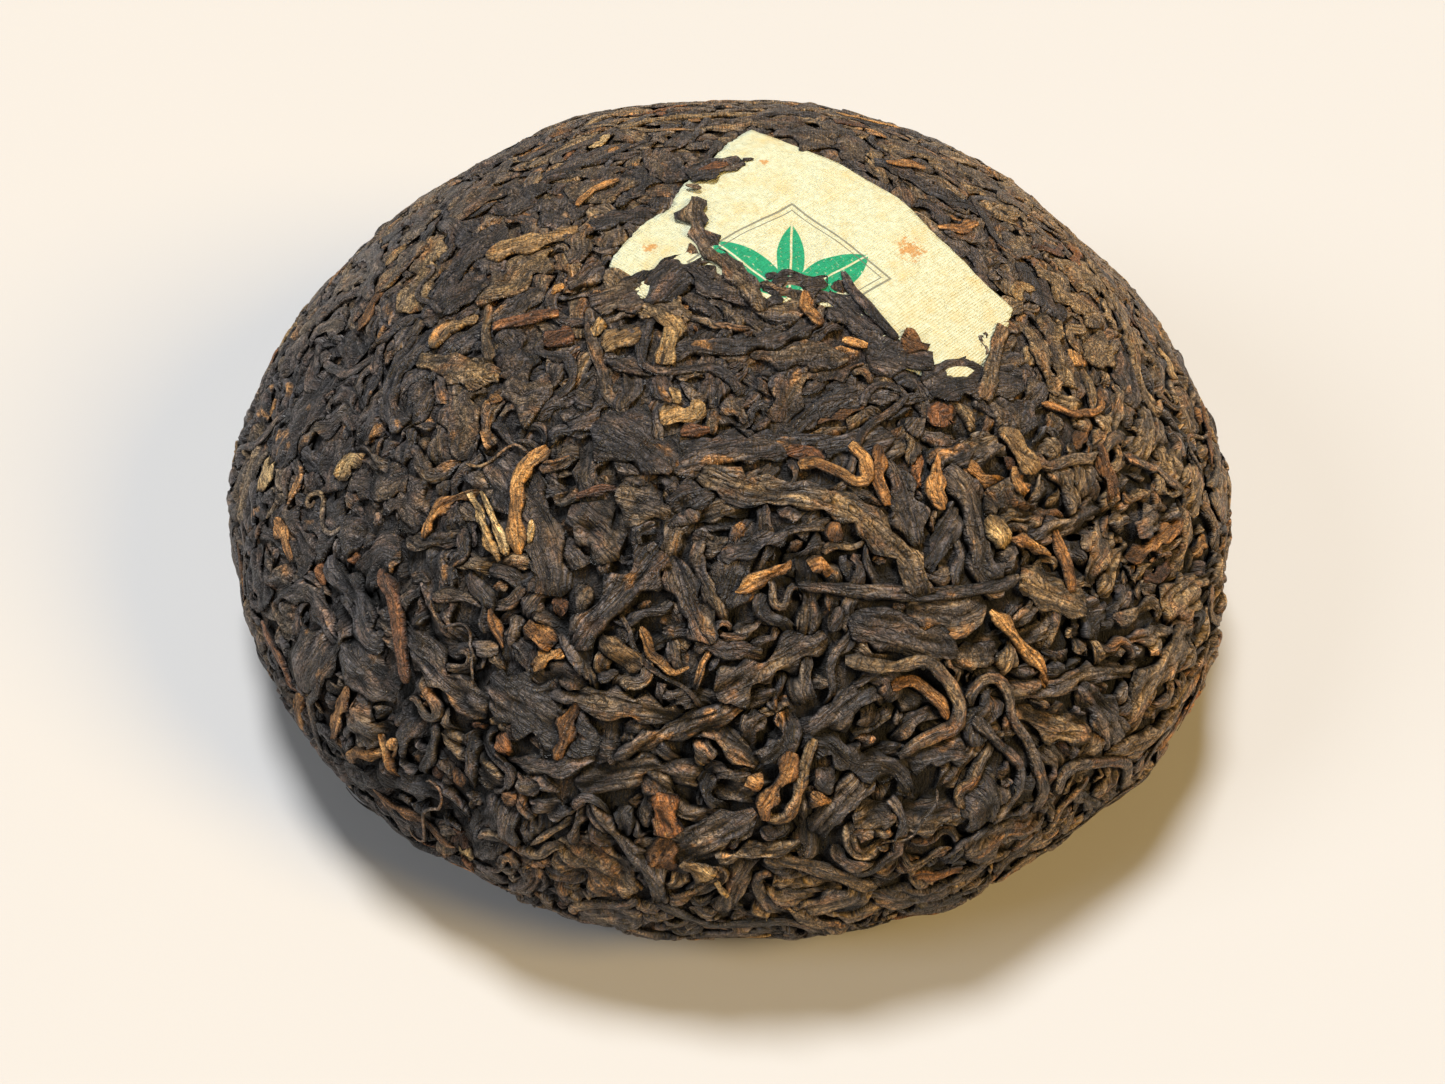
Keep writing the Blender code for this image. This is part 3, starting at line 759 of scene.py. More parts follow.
SHOWN_LEAVES = (
    ("golden", BUD, 1.25, 0.8, ((548, 445), (524, 466), (515, 486), (516, 556))),
    ("straw", BUD, 0.65, 0.9, ((476, 488), (492, 520), (506, 556))),
    ("straw", BUD, 0.7, 0.6, ((466, 490), (479, 520), (497, 562))),
    ("straw", BUD, 0.6, 0.9, ((531, 518), (526, 543))),
    ("golden", STEM, 0.95, 0.8, (
        (798, 465), (816, 460), (836, 471), (856, 483), (867, 480), (864, 457), (849, 443),
    )),
    ("rolled", ROLLED, 2.2, 0.62, (
        (698, 468), (748, 490), (806, 495), (856, 510), (872, 523), (914, 564), (927, 597),
    )),
    ("golden", BUD, 1.1, 0.35, ((879, 445), (876, 473), (889, 506))),
    ("golden", BUD, 1.3, 0.7, ((939, 453), (935, 490), (944, 511))),
    ("stems", STEM, 1.0, 0.3, ((796, 584), (831, 589), (930, 594), (1007, 586), (1024, 576))),
    ("rolled", ROLLED, 2.6, 0.3, ((662, 545), (620, 592), (570, 648))),
    ("rolled", ROLLED, 1.9, 0.35, ((670, 553), (688, 599), (713, 647))),
    ("rolled", ROLLED, 2.3, 0.4, ((713, 697), (775, 665), (830, 636))),
    ("rolled", ROLLED, 1.5, 0.4, ((612, 759), (670, 732), (730, 712), (780, 690))),
    ("short", SHORT, 1.4, 0.2, ((718, 558), (755, 548), (790, 532))),
    ("stems", STEM, 1.1, 0.75, (
        (844, 660), (891, 666), (924, 658), (949, 679), (964, 706), (959, 729), (941, 736), (916, 747),
        (899, 759),
    )),
    ("golden", STEM, 0.9, 0.4, ((891, 688), (916, 681), (938, 698), (953, 719))),
    ("stems", STEM, 0.9, 0.6, (
        (976, 709), (974, 693), (987, 679), (1004, 679), (1014, 696), (1016, 718), (1032, 739),
        (1050, 794), (1039, 819),
    )),
    ("stems", STEM, 0.8, 0.4, ((974, 718), (999, 741), (1025, 766), (1021, 791), (993, 826))),
    ("golden", BUD, 1.0, 0.9, ((991, 610), (1007, 626), (1024, 643), (1040, 663), (1055, 689))),
    ("golden", STEM, 1.1, 0.5, ((1061, 526), (1068, 559), (1079, 594))),
    ("straw", CRUMB, 1.6, 0.9, ((990, 517), (1012, 545))),
    ("golden", BUD, 0.8, 0.8, ((1015, 537), (1035, 543), (1056, 556))),
    ("golden", BUD, 0.8, 0.95, ((640, 625), (650, 656), (673, 673), (690, 666))),
    ("golden", CRUMB, 1.7, 0.6, ((524, 622), (552, 646))),
    ("golden", BUD, 0.8, 0.4, ((487, 608), (501, 649))),
    ("golden", BUD, 0.9, 0.7, ((562, 649), (531, 669))),
    ("straw", SCRAP, 1.8, 0.1, ((596, 637), (640, 669))),
    ("red", STEM, 1.3, 0.3, ((376, 568), (393, 598), (403, 686))),
    ("golden", BUD, 1.3, 0.3, ((575, 703), (555, 761))),
    ("golden", BUD, 1.35, 0.5, ((792, 752), (783, 778), (764, 806), (764, 822))),
    ("stems", STEM, 0.95, 1.0, ((816, 738), (803, 768), (797, 800), (787, 819), (772, 821), (764, 812))),
    ("golden", CRUMB, 1.1, 0.7, ((746, 780), (762, 786))),
    ("golden", CRUMB, 1.2, 0.8, ((812, 792), (832, 804))),
    ("red", SCRAP, 1.7, 0.6, ((657, 791), (665, 820), (671, 843))),
    ("golden", SCRAP, 1.8, 0.2, ((671, 846), (650, 873))),
    ("straw", CRUMB, 1.5, 0.4, ((681, 866), (711, 882))),
    ("straw", BUD, 0.6, 0.8, ((715, 884), (728, 901))),
    ("short", SHORT, 1.3, 0.8, ((716, 864), (740, 854), (773, 854), (802, 843))),
    ("stems", STEM, 1.2, 0.8, ((763, 859), (806, 869), (847, 883), (880, 894))),
    ("straw", BROAD, 2.0, 0.2, ((484, 256), (538, 239), (579, 226))),
    ("straw", SHORT, 1.4, 0.2, ((430, 347), (443, 324), (477, 317))),
    ("red", STEM, 1.1, 0.4, ((491, 324), (558, 310))),
    ("stems", STEM, 0.8, 0.6, ((487, 300), (484, 330), (491, 361))),
    ("straw", SCRAP, 1.7, 0.3, ((602, 346), (639, 327))),
    ("straw", SCRAP, 1.4, 0.5, ((656, 310), (673, 330), (663, 364))),
    ("straw", SCRAP, 1.0, 0.5, ((670, 385), (680, 401))),
    ("red", CRUMB, 1.0, 0.5, ((680, 432), (710, 428))),
    ("golden", BUD, 0.8, 0.7, ((575, 205), (592, 185), (619, 175))),
    ("golden", BUD, 0.9, 0.5, ((807, 289), (804, 306), (825, 324))),
    ("golden", BUD, 0.7, 0.7, ((843, 339), (868, 346))),
    ("straw", SCRAP, 1.5, 0.3, ((1000, 424), (1039, 471))),
    ("golden", STEM, 0.7, 0.4, ((1039, 403), (1075, 414), (1104, 410), (1100, 385))),
    ("short", SHORT, 1.6, 0.8, ((1029, 324), (1050, 371), (1061, 396))),
    ("golden", BUD, 1.1, 0.4, ((886, 162), (925, 167))),
    ("rolled", ROLLED, 2.2, 0.25, ((889, 458), (905, 500), (922, 545))),
    ("short", SHORT, 2.7, 0.35, ((568, 504), (596, 530), (618, 560))),
    ("broad", BROAD, 4.4, 0.1, ((596, 418), (636, 440), (676, 470))),
    ("broad", BROAD, 2.8, 0.55, ((614, 494), (642, 505), (672, 512))),
    ("broad", BROAD, 3.0, 0.3, ((850, 618), (905, 634), (962, 656))),
)  # fmt: skip

OVER_TICKET = (
    ("rolled", ROLLED, 1.7, 0.5, ((694, 194), (695, 214), (702, 234), (722, 256), (748, 284), (764, 310))),
    ("red", SCRAP, 0.9, 0.5, ((698, 170), (728, 163))),
    ("short", BROAD, 2.9, 0.1, ((686, 174), (712, 167), (742, 158))),
    ("curled", STEM, 0.9, 0.0, ((843, 268), (850, 284), (862, 300), (880, 322), (898, 340))),
    ("golden", SCRAP, 1.6, 0.1, ((903, 334), (929, 348))),
    ("stems", STEM, 1.15, 0.7, ((1004, 322), (997, 352), (984, 400))),
    ("crumbs", CRUMB, 0.5, 0.1, ((741, 159), (754, 158))),
    ("crumbs", CRUMB, 0.6, 0.6, ((685, 184), (701, 187))),
)
RISE_OVER_TICKET, RISE_SHOWN = 0.1, 0.12  # how far these leaves stand above the cloth

# The ticket as the photograph shows it: its own edge where that lies free, then the edge of the
# leaves over it, and the edge that it is given under them
FREE_EDGE = (
    (608, 262), (612, 252), (618, 245), (625, 236), (635, 226), (645, 216), (655, 210), (668, 203),
    (675, 190), (683, 181), (695, 172), (704, 163), (712, 157), (720, 148), (730, 139), (740, 133),
    (752, 127), (760, 132), (775, 136), (790, 141), (800, 145), (820, 154), (840, 162), (860, 172),
    (880, 183), (900, 196), (915, 209), (930, 225), (945, 240), (960, 255), (975, 269), (990, 283),
    (1000, 292), (1015, 307),
)  # fmt: skip
LEAF_EDGE = (
    (1008, 312), (1000, 320), (990, 325), (983, 329), (980, 337), (975, 345), (970, 352), (962, 358),
    (950, 358), (943, 360), (935, 353), (928, 345), (922, 337), (915, 332), (895, 330), (888, 327),
    (880, 318), (870, 307), (862, 298), (855, 291), (850, 286), (847, 275), (838, 272), (833, 276),
    (820, 268), (800, 268), (780, 266), (765, 268), (760, 276), (748, 270), (742, 265), (738, 260),
    (730, 253), (722, 243), (712, 236), (705, 238), (688, 238), (682, 244), (677, 252), (668, 257),
    (660, 262), (650, 267), (642, 271), (635, 268), (625, 262), (620, 256),
)  # fmt: skip
HIDDEN_EDGE = (
    (1003, 345), (968, 384), (935, 378), (905, 366), (880, 352), (856, 332), (838, 305), (800, 296),
    (760, 302), (725, 284), (695, 262), (672, 282), (642, 294), (620, 282),
)  # fmt: skip
WHOLE_TICKET = FREE_EDGE + HIDDEN_EDGE
SHOWN_TICKET = FREE_EDGE + LEAF_EDGE

# The ticket's sheet
PAPER_THICKNESS = 0.12
PAPER_CELL = 0.7
TORN_STEP, TORN_SIZE = 0.3, 0.05
STRAIGHT_ABOVE = 8  # the ticket's long edge lies beyond this in its own direction, and is torn less
STRAIGHT_SHARE = 0.3
PAPER_DEPTH, LOWER_DEPTH = 0.10, 0.25  # below the cloth at the long edge, and further down at the other
ROOM_UNDER_PAPER = 0.4
FLAT_SPAN = 40  # mm of the flat map
TICKET_DROP = 9  # the ticket lies no further than this below the top


# ---- the ticket


def inside_outline(x, y, corners):
    inside = np.zeros(x.shape, bool)
    for a, b in zip(corners, np.roll(corners, -1, axis=0)):
        crosses = (a[1] > y) != (b[1] > y)
        edge = a[0] + (b[0] - a[0]) * (y - a[1]) / (b[1] - a[1] + 1e-9)
        inside ^= crosses & (x < edge)
    return inside


def ticket_coordinates(place, normal):
    """Where surface points lie in the ticket's own flat directions."""
    reach = (HEIGHT - place[..., 2]) / np.maximum(normal[..., 2], 0.1)
    flat = place[..., :2] + normal[..., :2] * reach[..., None] - TICKET_MIDDLE
    c, s = math.cos(TICKET_TURN), math.sin(TICKET_TURN)
    return flat[..., 0] * c + flat[..., 1] * s, -flat[..., 0] * s + flat[..., 1] * c


def on_ticket(pixels):
    """Where on the ticket, in its own directions, the camera sees some pixels."""
    surface = Surface(upper_profile(), 1)
    place, normal = surface.at(*surface.locate(seen_at(pixels)))
    return np.stack(ticket_coordinates(place, normal), 1)


def on_bed(bed, pixels):
    """The bed's cells inside an outline on the ticket."""
    x, y = ticket_coordinates(bed.place, bed.normal)
    near_top = bed.place[..., 2] > HEIGHT - TICKET_DROP
    return inside_outline(x, y, on_ticket(pixels)) & near_top


def torn_outline(corners):
    """The outline with many small steps, uneven except along the straight edge."""
    points = []
    for a, b in zip(corners, np.roll(corners, -1, axis=0)):
        length = np.linalg.norm(b - a)
        count = max(1, int(length / TORN_STEP))
        out = np.array((a[1] - b[1], b[0] - a[0])) / length
        straight = a[1] > STRAIGHT_ABOVE and b[1] > STRAIGHT_ABOVE
        size = TORN_SIZE * (STRAIGHT_SHARE if straight else 1)
        for k in range(count):
            points.append(a + (b - a) * k / count + out * rng.normal(0, size) * (k > 0))
    return np.array(points)


def flat_sheet():
    """The ticket's outline as a flat face cut into small cells, so that it can bend."""
    outline = torn_outline(on_ticket(WHOLE_TICKET))
    sheet = bmesh.new()
    sheet.faces.new([sheet.verts.new((*corner, 0)) for corner in outline])
    for axis in (0, 1):
        low, high = outline[:, axis].min(), outline[:, axis].max()
        direction = Vector((axis == 0, axis == 1, 0))
        for place in np.arange(low + PAPER_CELL, high, PAPER_CELL):
            everything = sheet.verts[:] + sheet.edges[:] + sheet.faces[:]
            cut = direction * place
            bmesh.ops.bisect_plane(sheet, geom=everything, plane_co=cut, plane_no=direction)
    bmesh.ops.triangulate(sheet, faces=sheet.faces[:])
    return sheet


def ticket_level(bed, local, place):
    """How far from the cake's surface the paper lies: near the cloth at its long edge, else lower."""
    s, azimuth = bed.surface.locate(place)
    cloth = bed.between(bed.cloth, s * np.cos(azimuth), s * np.sin(azimuth))
    return cloth - PAPER_DEPTH - LOWER_DEPTH * ramp(-local[..., 1], -STRAIGHT_ABOVE, 0)


def bent_points(bed, local):
    """The sheet's points on the cake, slightly rumpled."""
    c, s = math.cos(TICKET_TURN), math.sin(TICKET_TURN)
    x, y = local.T
    flat = np.stack([x * c - y * s, x * s + y * c], 1) + TICKET_MIDDLE
    high = np.concatenate([flat, np.full((len(flat), 1), HEIGHT)], 1)
    place, normal = bed.surface.at(*bed.surface.locate(high))
    rumple = 0.05 * np.sin(x * 0.9 + 1.3 * np.sin(y * 0.7))
    rumple += 0.03 * np.sin(y * 2.3 + 2 * np.sin(x * 0.6))
    return place + normal * (ticket_level(bed, local, place) + rumple)[:, None]


def make_ticket(bed):
    """The paper slip as a thin sheet that lies on the cake."""
    sheet = flat_sheet()
    local = np.array([vert.co for vert in sheet.verts])[:, :2]
    for vert, point in zip(sheet.verts, bent_points(bed, local)):
        vert.co = point * MM
    flat_map = sheet.loops.layers.uv.new("UVMap")
    sheet.verts.index_update()
    for face in sheet.faces:
        for loop in face.loops:
            loop[flat_map].uv = local[loop.vert.index] / FLAT_SPAN + 0.5
    mesh = bpy.data.meshes.new("paper_slip")
    sheet.to_mesh(mesh)
    sheet.free()
    slip = add_object("paper_slip", mesh)
    solid = slip.modifiers.new("paper", "SOLIDIFY")
    solid.thickness = PAPER_THICKNESS * MM
    solid.offset = -1
    evaluated = slip.evaluated_get(bpy.context.evaluated_depsgraph_get())
    thick_mesh = bpy.data.meshes.new_from_object(evaluated)
    slip.modifiers.clear()
    slip.data = thick_mesh
    slip.data.shade_smooth()
    return slip


def cover_with_ticket(bed):
    under = on_bed(bed, WHOLE_TICKET)
    local = joined(*ticket_coordinates(bed.place, bed.normal))
    level = ticket_level(bed, local[under], bed.place[under])
    bed.ceiling[under] = np.minimum(bed.ceiling[under], level - ROOM_UNDER_PAPER)
    bed.covered |= under
    bed.keep_out[:] = False


# ---- the pressing cloth's form

LEAST_PRESS = 0.28
PRESSED_FRONT, PRESSED_BACK, PRESS_FADE = 17, 39, 13  # radius fully pressed to the front and the back
FRONT_SOFTER = 0.35
LEFT_PRESS, RIM_PRESS = 0.62, 0.35
UNDER_PRESS = 0.35


def upper_press(place):
    """How hard the cloth pressed: fully on the top and the back, lightly on the front flank and rim."""
    x, y, z = place[..., 0], place[..., 1], place[..., 2]
    radius = np.hypot(x, y)
    front = ramp(-y / (radius + 5), -0.75, 0.75)
    fade_start = PRESSED_FRONT + (PRESSED_BACK - PRESSED_FRONT) * (1 - front)
    top = (1 - ramp(radius, fade_start, fade_start + PRESS_FADE)) * ramp(z, 1, 11)
    left = LEFT_PRESS * ramp(-x, 6, 24) * (1 - ramp(-y, 16, 32))
    rim_press = RIM_PRESS * ramp(-z, -15, -8)
    hardest = np.maximum(np.maximum(top * (1 - FRONT_SOFTER * front), left), rim_press)
    return LEAST_PRESS + (1 - LEAST_PRESS) * hardest


def upper_swell(place, field):
    """The cloth's uneven form: nearly smooth where pressed, bulging between folds elsewhere."""
    loose = 1 - upper_press(place)
    swell = field(9.0) * (0.10 + 0.22 * loose) + field(4.0) * 0.10 * loose - 0.25
    floor = ramp(place[..., 2], 0.5, 4)
    return swell * floor - 0.15 * (1 - floor)


def under_press(place):
    return np.full(place.shape[:-1], UNDER_PRESS)


def under_swell(place, field):
    deep = ramp(place[..., 2], 0.3, 3)
    return (field(8.0) * 0.22 + field(3.5) * 0.1) * deep - 0.1 - 0.3 * deep


# ---- filling the cake with leaves

# Rounds of filling: piece, kind, tries, least share that must show
TICKET_EDGE = (
    ("broad", BROAD, 160, 0.35),
    ("rolled", ROLLED, 160, 0.35),
    ("short", SHORT, 240, 0.35),
    ("scraps", SCRAP, 260, 0.35),
    ("crumbs", CRUMB, 60, 0.35),
)
PRESSED_LEAVES = (
    ("golden", BUD, 16, 0.75),
    ("straw", SCRAP, 22, 0.7),
    ("red", SCRAP, 14, 0.7),
    ("golden", CRUMB, 16, 0.6),
    ("stems", STEM, 26, 0.7),
    ("matted", MATTED, 90, 0.7),
    ("rolled", ROLLED, 30, 0.6),
    ("matted", MATTED, 120, 0.5),
)
LOOSE_LEAVES = (
    ("stems", STRAND, 46, 0.7),
    ("golden", BUD, 40, 0.75),
    ("straw", BUD, 10, 0.75),
    ("red", BUD, 14, 0.7),
    ("stems", STEM, 60, 0.7),
    ("golden", CRUMB, 26, 0.6),
    ("rolled", ROLLED, 110, 0.6),
    ("broad", BROAD, 60, 0.5),
    ("curled", CURLED, 80, 0.5),
)
PACKED_LEAVES = (
    ("short", SHORT, 260, 0.45),
    ("scraps", SCRAP, 160, 0.6),
    ("matted", MATTED, 50, 0.4),
    ("rolled", ROLLED, 90, 0.35),
    ("curled", CURLED, 110, 0.4),
    ("golden", BUD, 16, 0.5),
    ("broad", BROAD, 30, 0.35),
    ("stems", STEM, 70, 0.4),
    ("short", SHORT, 320, 0.3),
    ("red", SCRAP, 40, 0.45),
    ("scraps", SCRAP, 480, 0.35),
    ("straw", SCRAP, 10, 0.5),
    ("curled", CURLED, 100, 0.25),
    ("short", SHORT, 220, 0.2),
    ("scraps", SCRAP, 700, 0.2),
    ("red", CRUMB, 40, 0.4),
    ("crumbs", CRUMB, 500, 0.35),
)
LAST_PRESSED = (
    ("matted", MATTED, 60, 0.15),
    ("scraps", SCRAP, 180, 0.15),
)
UNDER_LEAVES = (
    ("under", UNDER_SHORT, 260, 0.45),
    ("under", UNDER_SHORT, 160, 0.3),
    ("under", UNDER_SCRAP, 400, 0.4),
)
PRESSED, HARD_PRESSED = 0.6, 0.7  # the press above which a place counts as such
UPPER_MARGIN, UNDER_MARGIN, PACKED_MARGIN = 1.0, 0.5, 0.5  # kept free at a surface's last edge
TINT_SPREAD = 0.24
PACKED_DEPTH, PACKED_STEP = 0.75, 0.95  # the surface between the leaves: below the cloth, mesh size
PACKED_LOWEST = 0.1


def dark_tints_and_painted_bounce(starts):
    """Darker and greyer to the left of the front, browner to the right and at the back, and a little
    lighter and warmer low on the rim as painted warm bounce light.
    """
    x, y, z = starts.T
    share = 0.34 + 0.42 * ramp(x, 8, 36) + 0.36 * ramp(y, 0, 34)
    share += 0.05 * ramp(-z, -18, -8) - 0.10 * ramp(-x, 5, 25)
    return np.clip(share + rng.normal(0, TINT_SPREAD, len(starts)), 0, 1)


def along_rim_bias(starts):
    """Leaves lie along the rim more often at the back, on the flanks and low down."""
    x, y, z = starts.T
    flanks = np.maximum(ramp(np.abs(x), 24, 38), ramp(-z, -15, -8))
    return 0.15 + 0.55 * np.maximum(ramp(y, 5, 30), flanks)


def lay_shown(bed, heaps, shown_leaves, rise):
    for piece, kind, width, tint, pixels in shown_leaves:
        route = route_through(bed.surface, pixels, kind.stations)
        thick = min(draw(kind.thick), width)
        lay(bed, heaps[piece], kind, route, width, thick, tint, shown=0, rise=rise)


def fill(bed, heaps, plan, bias=None, where=None):
    """Lays leaves in rounds, at places that are still open."""
    for piece, kind, tries, shown in plan:
        starts = bed.open_places(tries, where)
        light = piece in ("golden", "straw", "red")
        tints = rng.random(tries) if light else dark_tints_and_painted_bounce(starts)
        scatter(bed, heaps[piece], kind, starts, tints, shown, bias)


def make_upper(heaps):
    surface = Surface(upper_profile(), 1)
    last = surface.s[-1]
    bed = Bed(surface, upper_press, upper_swell, last - UPPER_MARGIN)
    lay_shown(bed, heaps, OVER_TICKET, RISE_OVER_TICKET)
    lay_shown(bed, heaps, SHOWN_LEAVES, RISE_SHOWN)
    bed.keep_out = on_bed(bed, SHOWN_TICKET)
    gripping = on_bed(bed, WHOLE_TICKET) & ~bed.keep_out
    fill(bed, heaps, TICKET_EDGE, None, gripping)
    fill(bed, heaps, PRESSED_LEAVES, along_rim_bias, bed.press > PRESSED)
    fill(bed, heaps, LOOSE_LEAVES, along_rim_bias)
    cover_with_ticket(bed)
    fill(bed, heaps, PACKED_LEAVES, along_rim_bias)
    fill(bed, heaps, LAST_PRESSED, along_rim_bias, bed.press > HARD_PRESSED)
    pack_between(bed, heaps["packed"], last - PACKED_MARGIN)
    return bed


def make_under(heaps):
    surface = Surface(under_profile(), -1)
    last = surface.s[-1]
    bed = Bed(surface, under_press, under_swell, last - UNDER_MARGIN)
    fill(bed, heaps, UNDER_LEAVES)
    pack_between(bed, heaps["packed"], last - PACKED_MARGIN)


def pack_between(bed, heap, last):
    """One crumpled surface under everything, which closes the gaps between the leaves."""
    reach = np.arange(PACKED_STEP / 2, last, PACKED_STEP)
    azimuth = np.arange(0, 2 * math.pi, PACKED_STEP / RADIUS)
    s, azimuth = np.meshgrid(reach, azimuth, indexing="ij")
    x, y = s * np.cos(azimuth), s * np.sin(azimuth)
    under = bed.ceiling.copy()
    for shift in (-2, 2):
        for axis in (0, 1):
            under = np.minimum(under, np.roll(under, shift, axis))
    cloth = bed.between(bed.cloth, x, y)
    cells = bed.cells(x, y)
    crumple = hills_at(x / 1.5, y / 1.5) * 0.22
    press = bed.press[cells]
    pressed = ramp(press, PRESSED, 1)
    depth = PACKED_DEPTH * (1 - 0.6 * press)
    level = np.minimum(cloth - depth + crumple * (1 - 0.4 * press), under[cells] + 0.3)
    place, out = bed.surface.at(s, azimuth)
    rings = place + out * level[..., None]
    rings[..., 2] = np.maximum(rings[..., 2], PACKED_LOWEST)
    tint = 0.3 + 0.25 * pressed + 0.15 * hills_at(y / 2.2, x / 2.2)
    depth = np.clip(cloth - level, 0, DEEPEST_MARK) * (1 - 0.5 * pressed)
    # the second leaf mark is its painted ridge light, lighter where pressed; the depth below the cloth is
    # darkened as painted shade
    marks = joined(x, y, 0.0), joined(tint, 0.7 + 0.15 * pressed, 0.0), joined(x, y, depth)
    heap.add(rings, marks, closed=False)


# ---- meshes


def mesh_of(name, heap):
    points = np.concatenate(heap.points) * MM
    quads = np.concatenate(heap.faces)
    cap_loops = np.concatenate(heap.caps) if heap.caps else np.empty(0, int)
    cap_sizes = np.array([len(cap) for cap in heap.caps], int)
    loops = np.concatenate([quads.ravel(), cap_loops])
    sizes = np.concatenate([np.full(len(quads), 4), cap_sizes])
    mesh = bpy.data.meshes.new(name)
    mesh.vertices.add(len(points))
    mesh.vertices.foreach_set("co", points.astype(np.float32).ravel())
    mesh.loops.add(len(loops))
    mesh.loops.foreach_set("vertex_index", loops.astype(np.int32))
    mesh.polygons.add(len(sizes))
    starts = np.concatenate([[0], np.cumsum(sizes)[:-1]])
    mesh.polygons.foreach_set("loop_start", starts.astype(np.int32))
    mesh.update(calc_edges=True)
    for mark, values in heap.marks.items():
        attribute = mesh.attributes.new(mark, "FLOAT_VECTOR", "POINT")
        attribute.data.foreach_set("vector", np.concatenate(values).astype(np.float32).ravel())
    mesh.shade_smooth()
    return add_object(name, mesh)


# ---- materials


class Nodes:
    """Short ways to add nodes to a material. An input called i0, i1 and so on goes by its place."""

    def __init__(self, name):
        self.material = bpy.data.materials.new(name)
        self.material.use_nodes = True
        self.tree = self.material.node_tree
        self.shader = self.tree.nodes["Principled BSDF"]

    def add(self, kind, settings=None, **inputs):
        node = self.tree.nodes.new(kind)
        for key, value in (settings or {}).items():
            setattr(node, key, value)
        for key, value in inputs.items():
            by_place = key[0] == "i" and key[1:].isdigit()
            self.feed(node.inputs[int(key[1:]) if by_place else key], value)
        return node

    def feed(self, socket, value):
        if isinstance(value, bpy.types.NodeSocket):
            self.tree.links.new(value, socket)
        else:
            socket.default_value = value

    def look(self, **inputs):
        """Sets the shader's inputs, with _ for the spaces in their names."""
        for key, value in inputs.items():
            self.feed(self.shader.inputs[key.replace("_", " ")], value)

    def math(self, operation, a, b=0.0, clamp=False):
        settings = {"operation": operation, "use_clamp": clamp}
        return self.add("ShaderNodeMath", settings, i0=a, i1=b).outputs[0]

    def product(self, first, *others):
        for other in others:
            first = self.math("MULTIPLY", first, other)
        return first

    def total(self, first, *others):
        for other in others:
            first = self.math("ADD", first, other)
        return first

    def less(self, a, b):
        return self.math("SUBTRACT", a, b)

    def size(self, value):
        return self.math("ABSOLUTE", value)

    def attribute(self, name):
        return self.add("ShaderNodeAttribute", {"attribute_name": name}).outputs["Vector"]

    def split(self, vector):
        return self.add("ShaderNodeSeparateXYZ", i0=vector).outputs

    def scaled(self, vector, scale):
        return self.add("ShaderNodeVectorMath", {"operation": "MULTIPLY"}, i0=vector, i1=scale).outputs[0]

    def noise(self, vector, scale, detail=3.0, roughness=0.55, distortion=0.0):
        node = self.add(
            "ShaderNodeTexNoise",
            Vector=vector,
            Scale=scale,
            Detail=detail,
            Roughness=roughness,
            Distortion=distortion,
        )
        return node.outputs["Fac"]

    def crease(self, vector, width):
        """0 along thin wandering lines and 1 between them."""
        noise = self.noise(vector, 1.0, 1.5, 0.5, 0.9)
        return self.range(self.size(self.less(noise, 0.5)), 0.0, width)

    def weave(self, x, y):
        """The pressing cloth's threads, from -1 between them to 1 on top of them."""
        pitch = 2 * math.pi / WEAVE_PITCH / math.sqrt(2)
        warp = self.math("SINE", self.product(self.total(x, y), pitch))
        weft = self.math("SINE", self.product(self.less(x, y), pitch))
        return self.product(warp, weft)

    def range(self, value, low, high, to_low=0.0, to_high=1.0):
        node = self.add("ShaderNodeMapRange", None, i0=value, i1=low, i2=high, i3=to_low, i4=to_high)
        return node.outputs[0]

    def mix(self, share, a, b, blend="MIX"):
        node = self.add("ShaderNodeMix", {"data_type": "RGBA", "blend_type": blend})
        self.feed(node.inputs[0], share)
        self.feed(node.inputs[6], a)
        self.feed(node.inputs[7], (*b, 1) if isinstance(b, tuple) else b)
        return node.outputs[2]

    def ramp(self, value, stops):
        node = self.add("ShaderNodeValToRGB", None, i0=value)
        elements = node.color_ramp.elements
        while len(elements) < len(stops):
            elements.new(0.5)
        for element, (place, colour) in zip(elements, stops):
            element.position = place
            element.color = (*colour, 1)
        return node.outputs[0]

    def bump(self, height, distance):
        node = self.add("ShaderNodeBump", None, Strength=1.0, Distance=distance * MM, Height=height)
        self.look(Normal=node.outputs[0])


DARK = (
    (0.0, (0.045, 0.042, 0.045)),
    (0.3, (0.088, 0.0725, 0.067)),
    (0.6, (0.148, 0.110, 0.076)),
    (1.0, (0.282, 0.190, 0.096)),
)
GOLD = ((0.0, (0.11, 0.050, 0.018)), (0.5, (0.26, 0.120, 0.038)), (1.0, (0.50, 0.265, 0.088)))
STRAW = ((0.0, (0.17, 0.105, 0.048)), (0.5, (0.32, 0.200, 0.086)), (1.0, (0.58, 0.40, 0.18)))
RED = ((0.0, (0.08, 0.037, 0.020)), (0.5, (0.17, 0.072, 0.030)), (1.0, (0.34, 0.140, 0.048)))
# warm and gilt colours that the leaves take on their lit ridges: partly leaf tone, partly painted
# highlight
WARM_DARK, WARM_GOLD = (0.30, 0.145, 0.056), (0.44, 0.215, 0.070)
WARM_STRAW, WARM_RED = (0.40, 0.235, 0.085), (0.30, 0.130, 0.044)
GILT_AND_HIGHLIGHT = (0.42, 0.215, 0.078)
# pale specks: partly dust, partly painted glints
DUST_AND_GLINT = (0.60, 0.50, 0.38)


@dataclass
class Finish:
    """The look of one piece's leaves."""

    name: str
    warm_share: float  # how much of them has warm patches, which lie on the lit ridges as partly painted highlights
    across: float = 1.0  # how much closer the creases lie across the leaf
    stops: tuple = DARK
    warm: tuple = WARM_DARK
    roughness: float = 0.48
    crease_light: float = 0.38  # how light the painted shade in the creases is; the painted shade of the cloth's imprint is fainter on light leaves
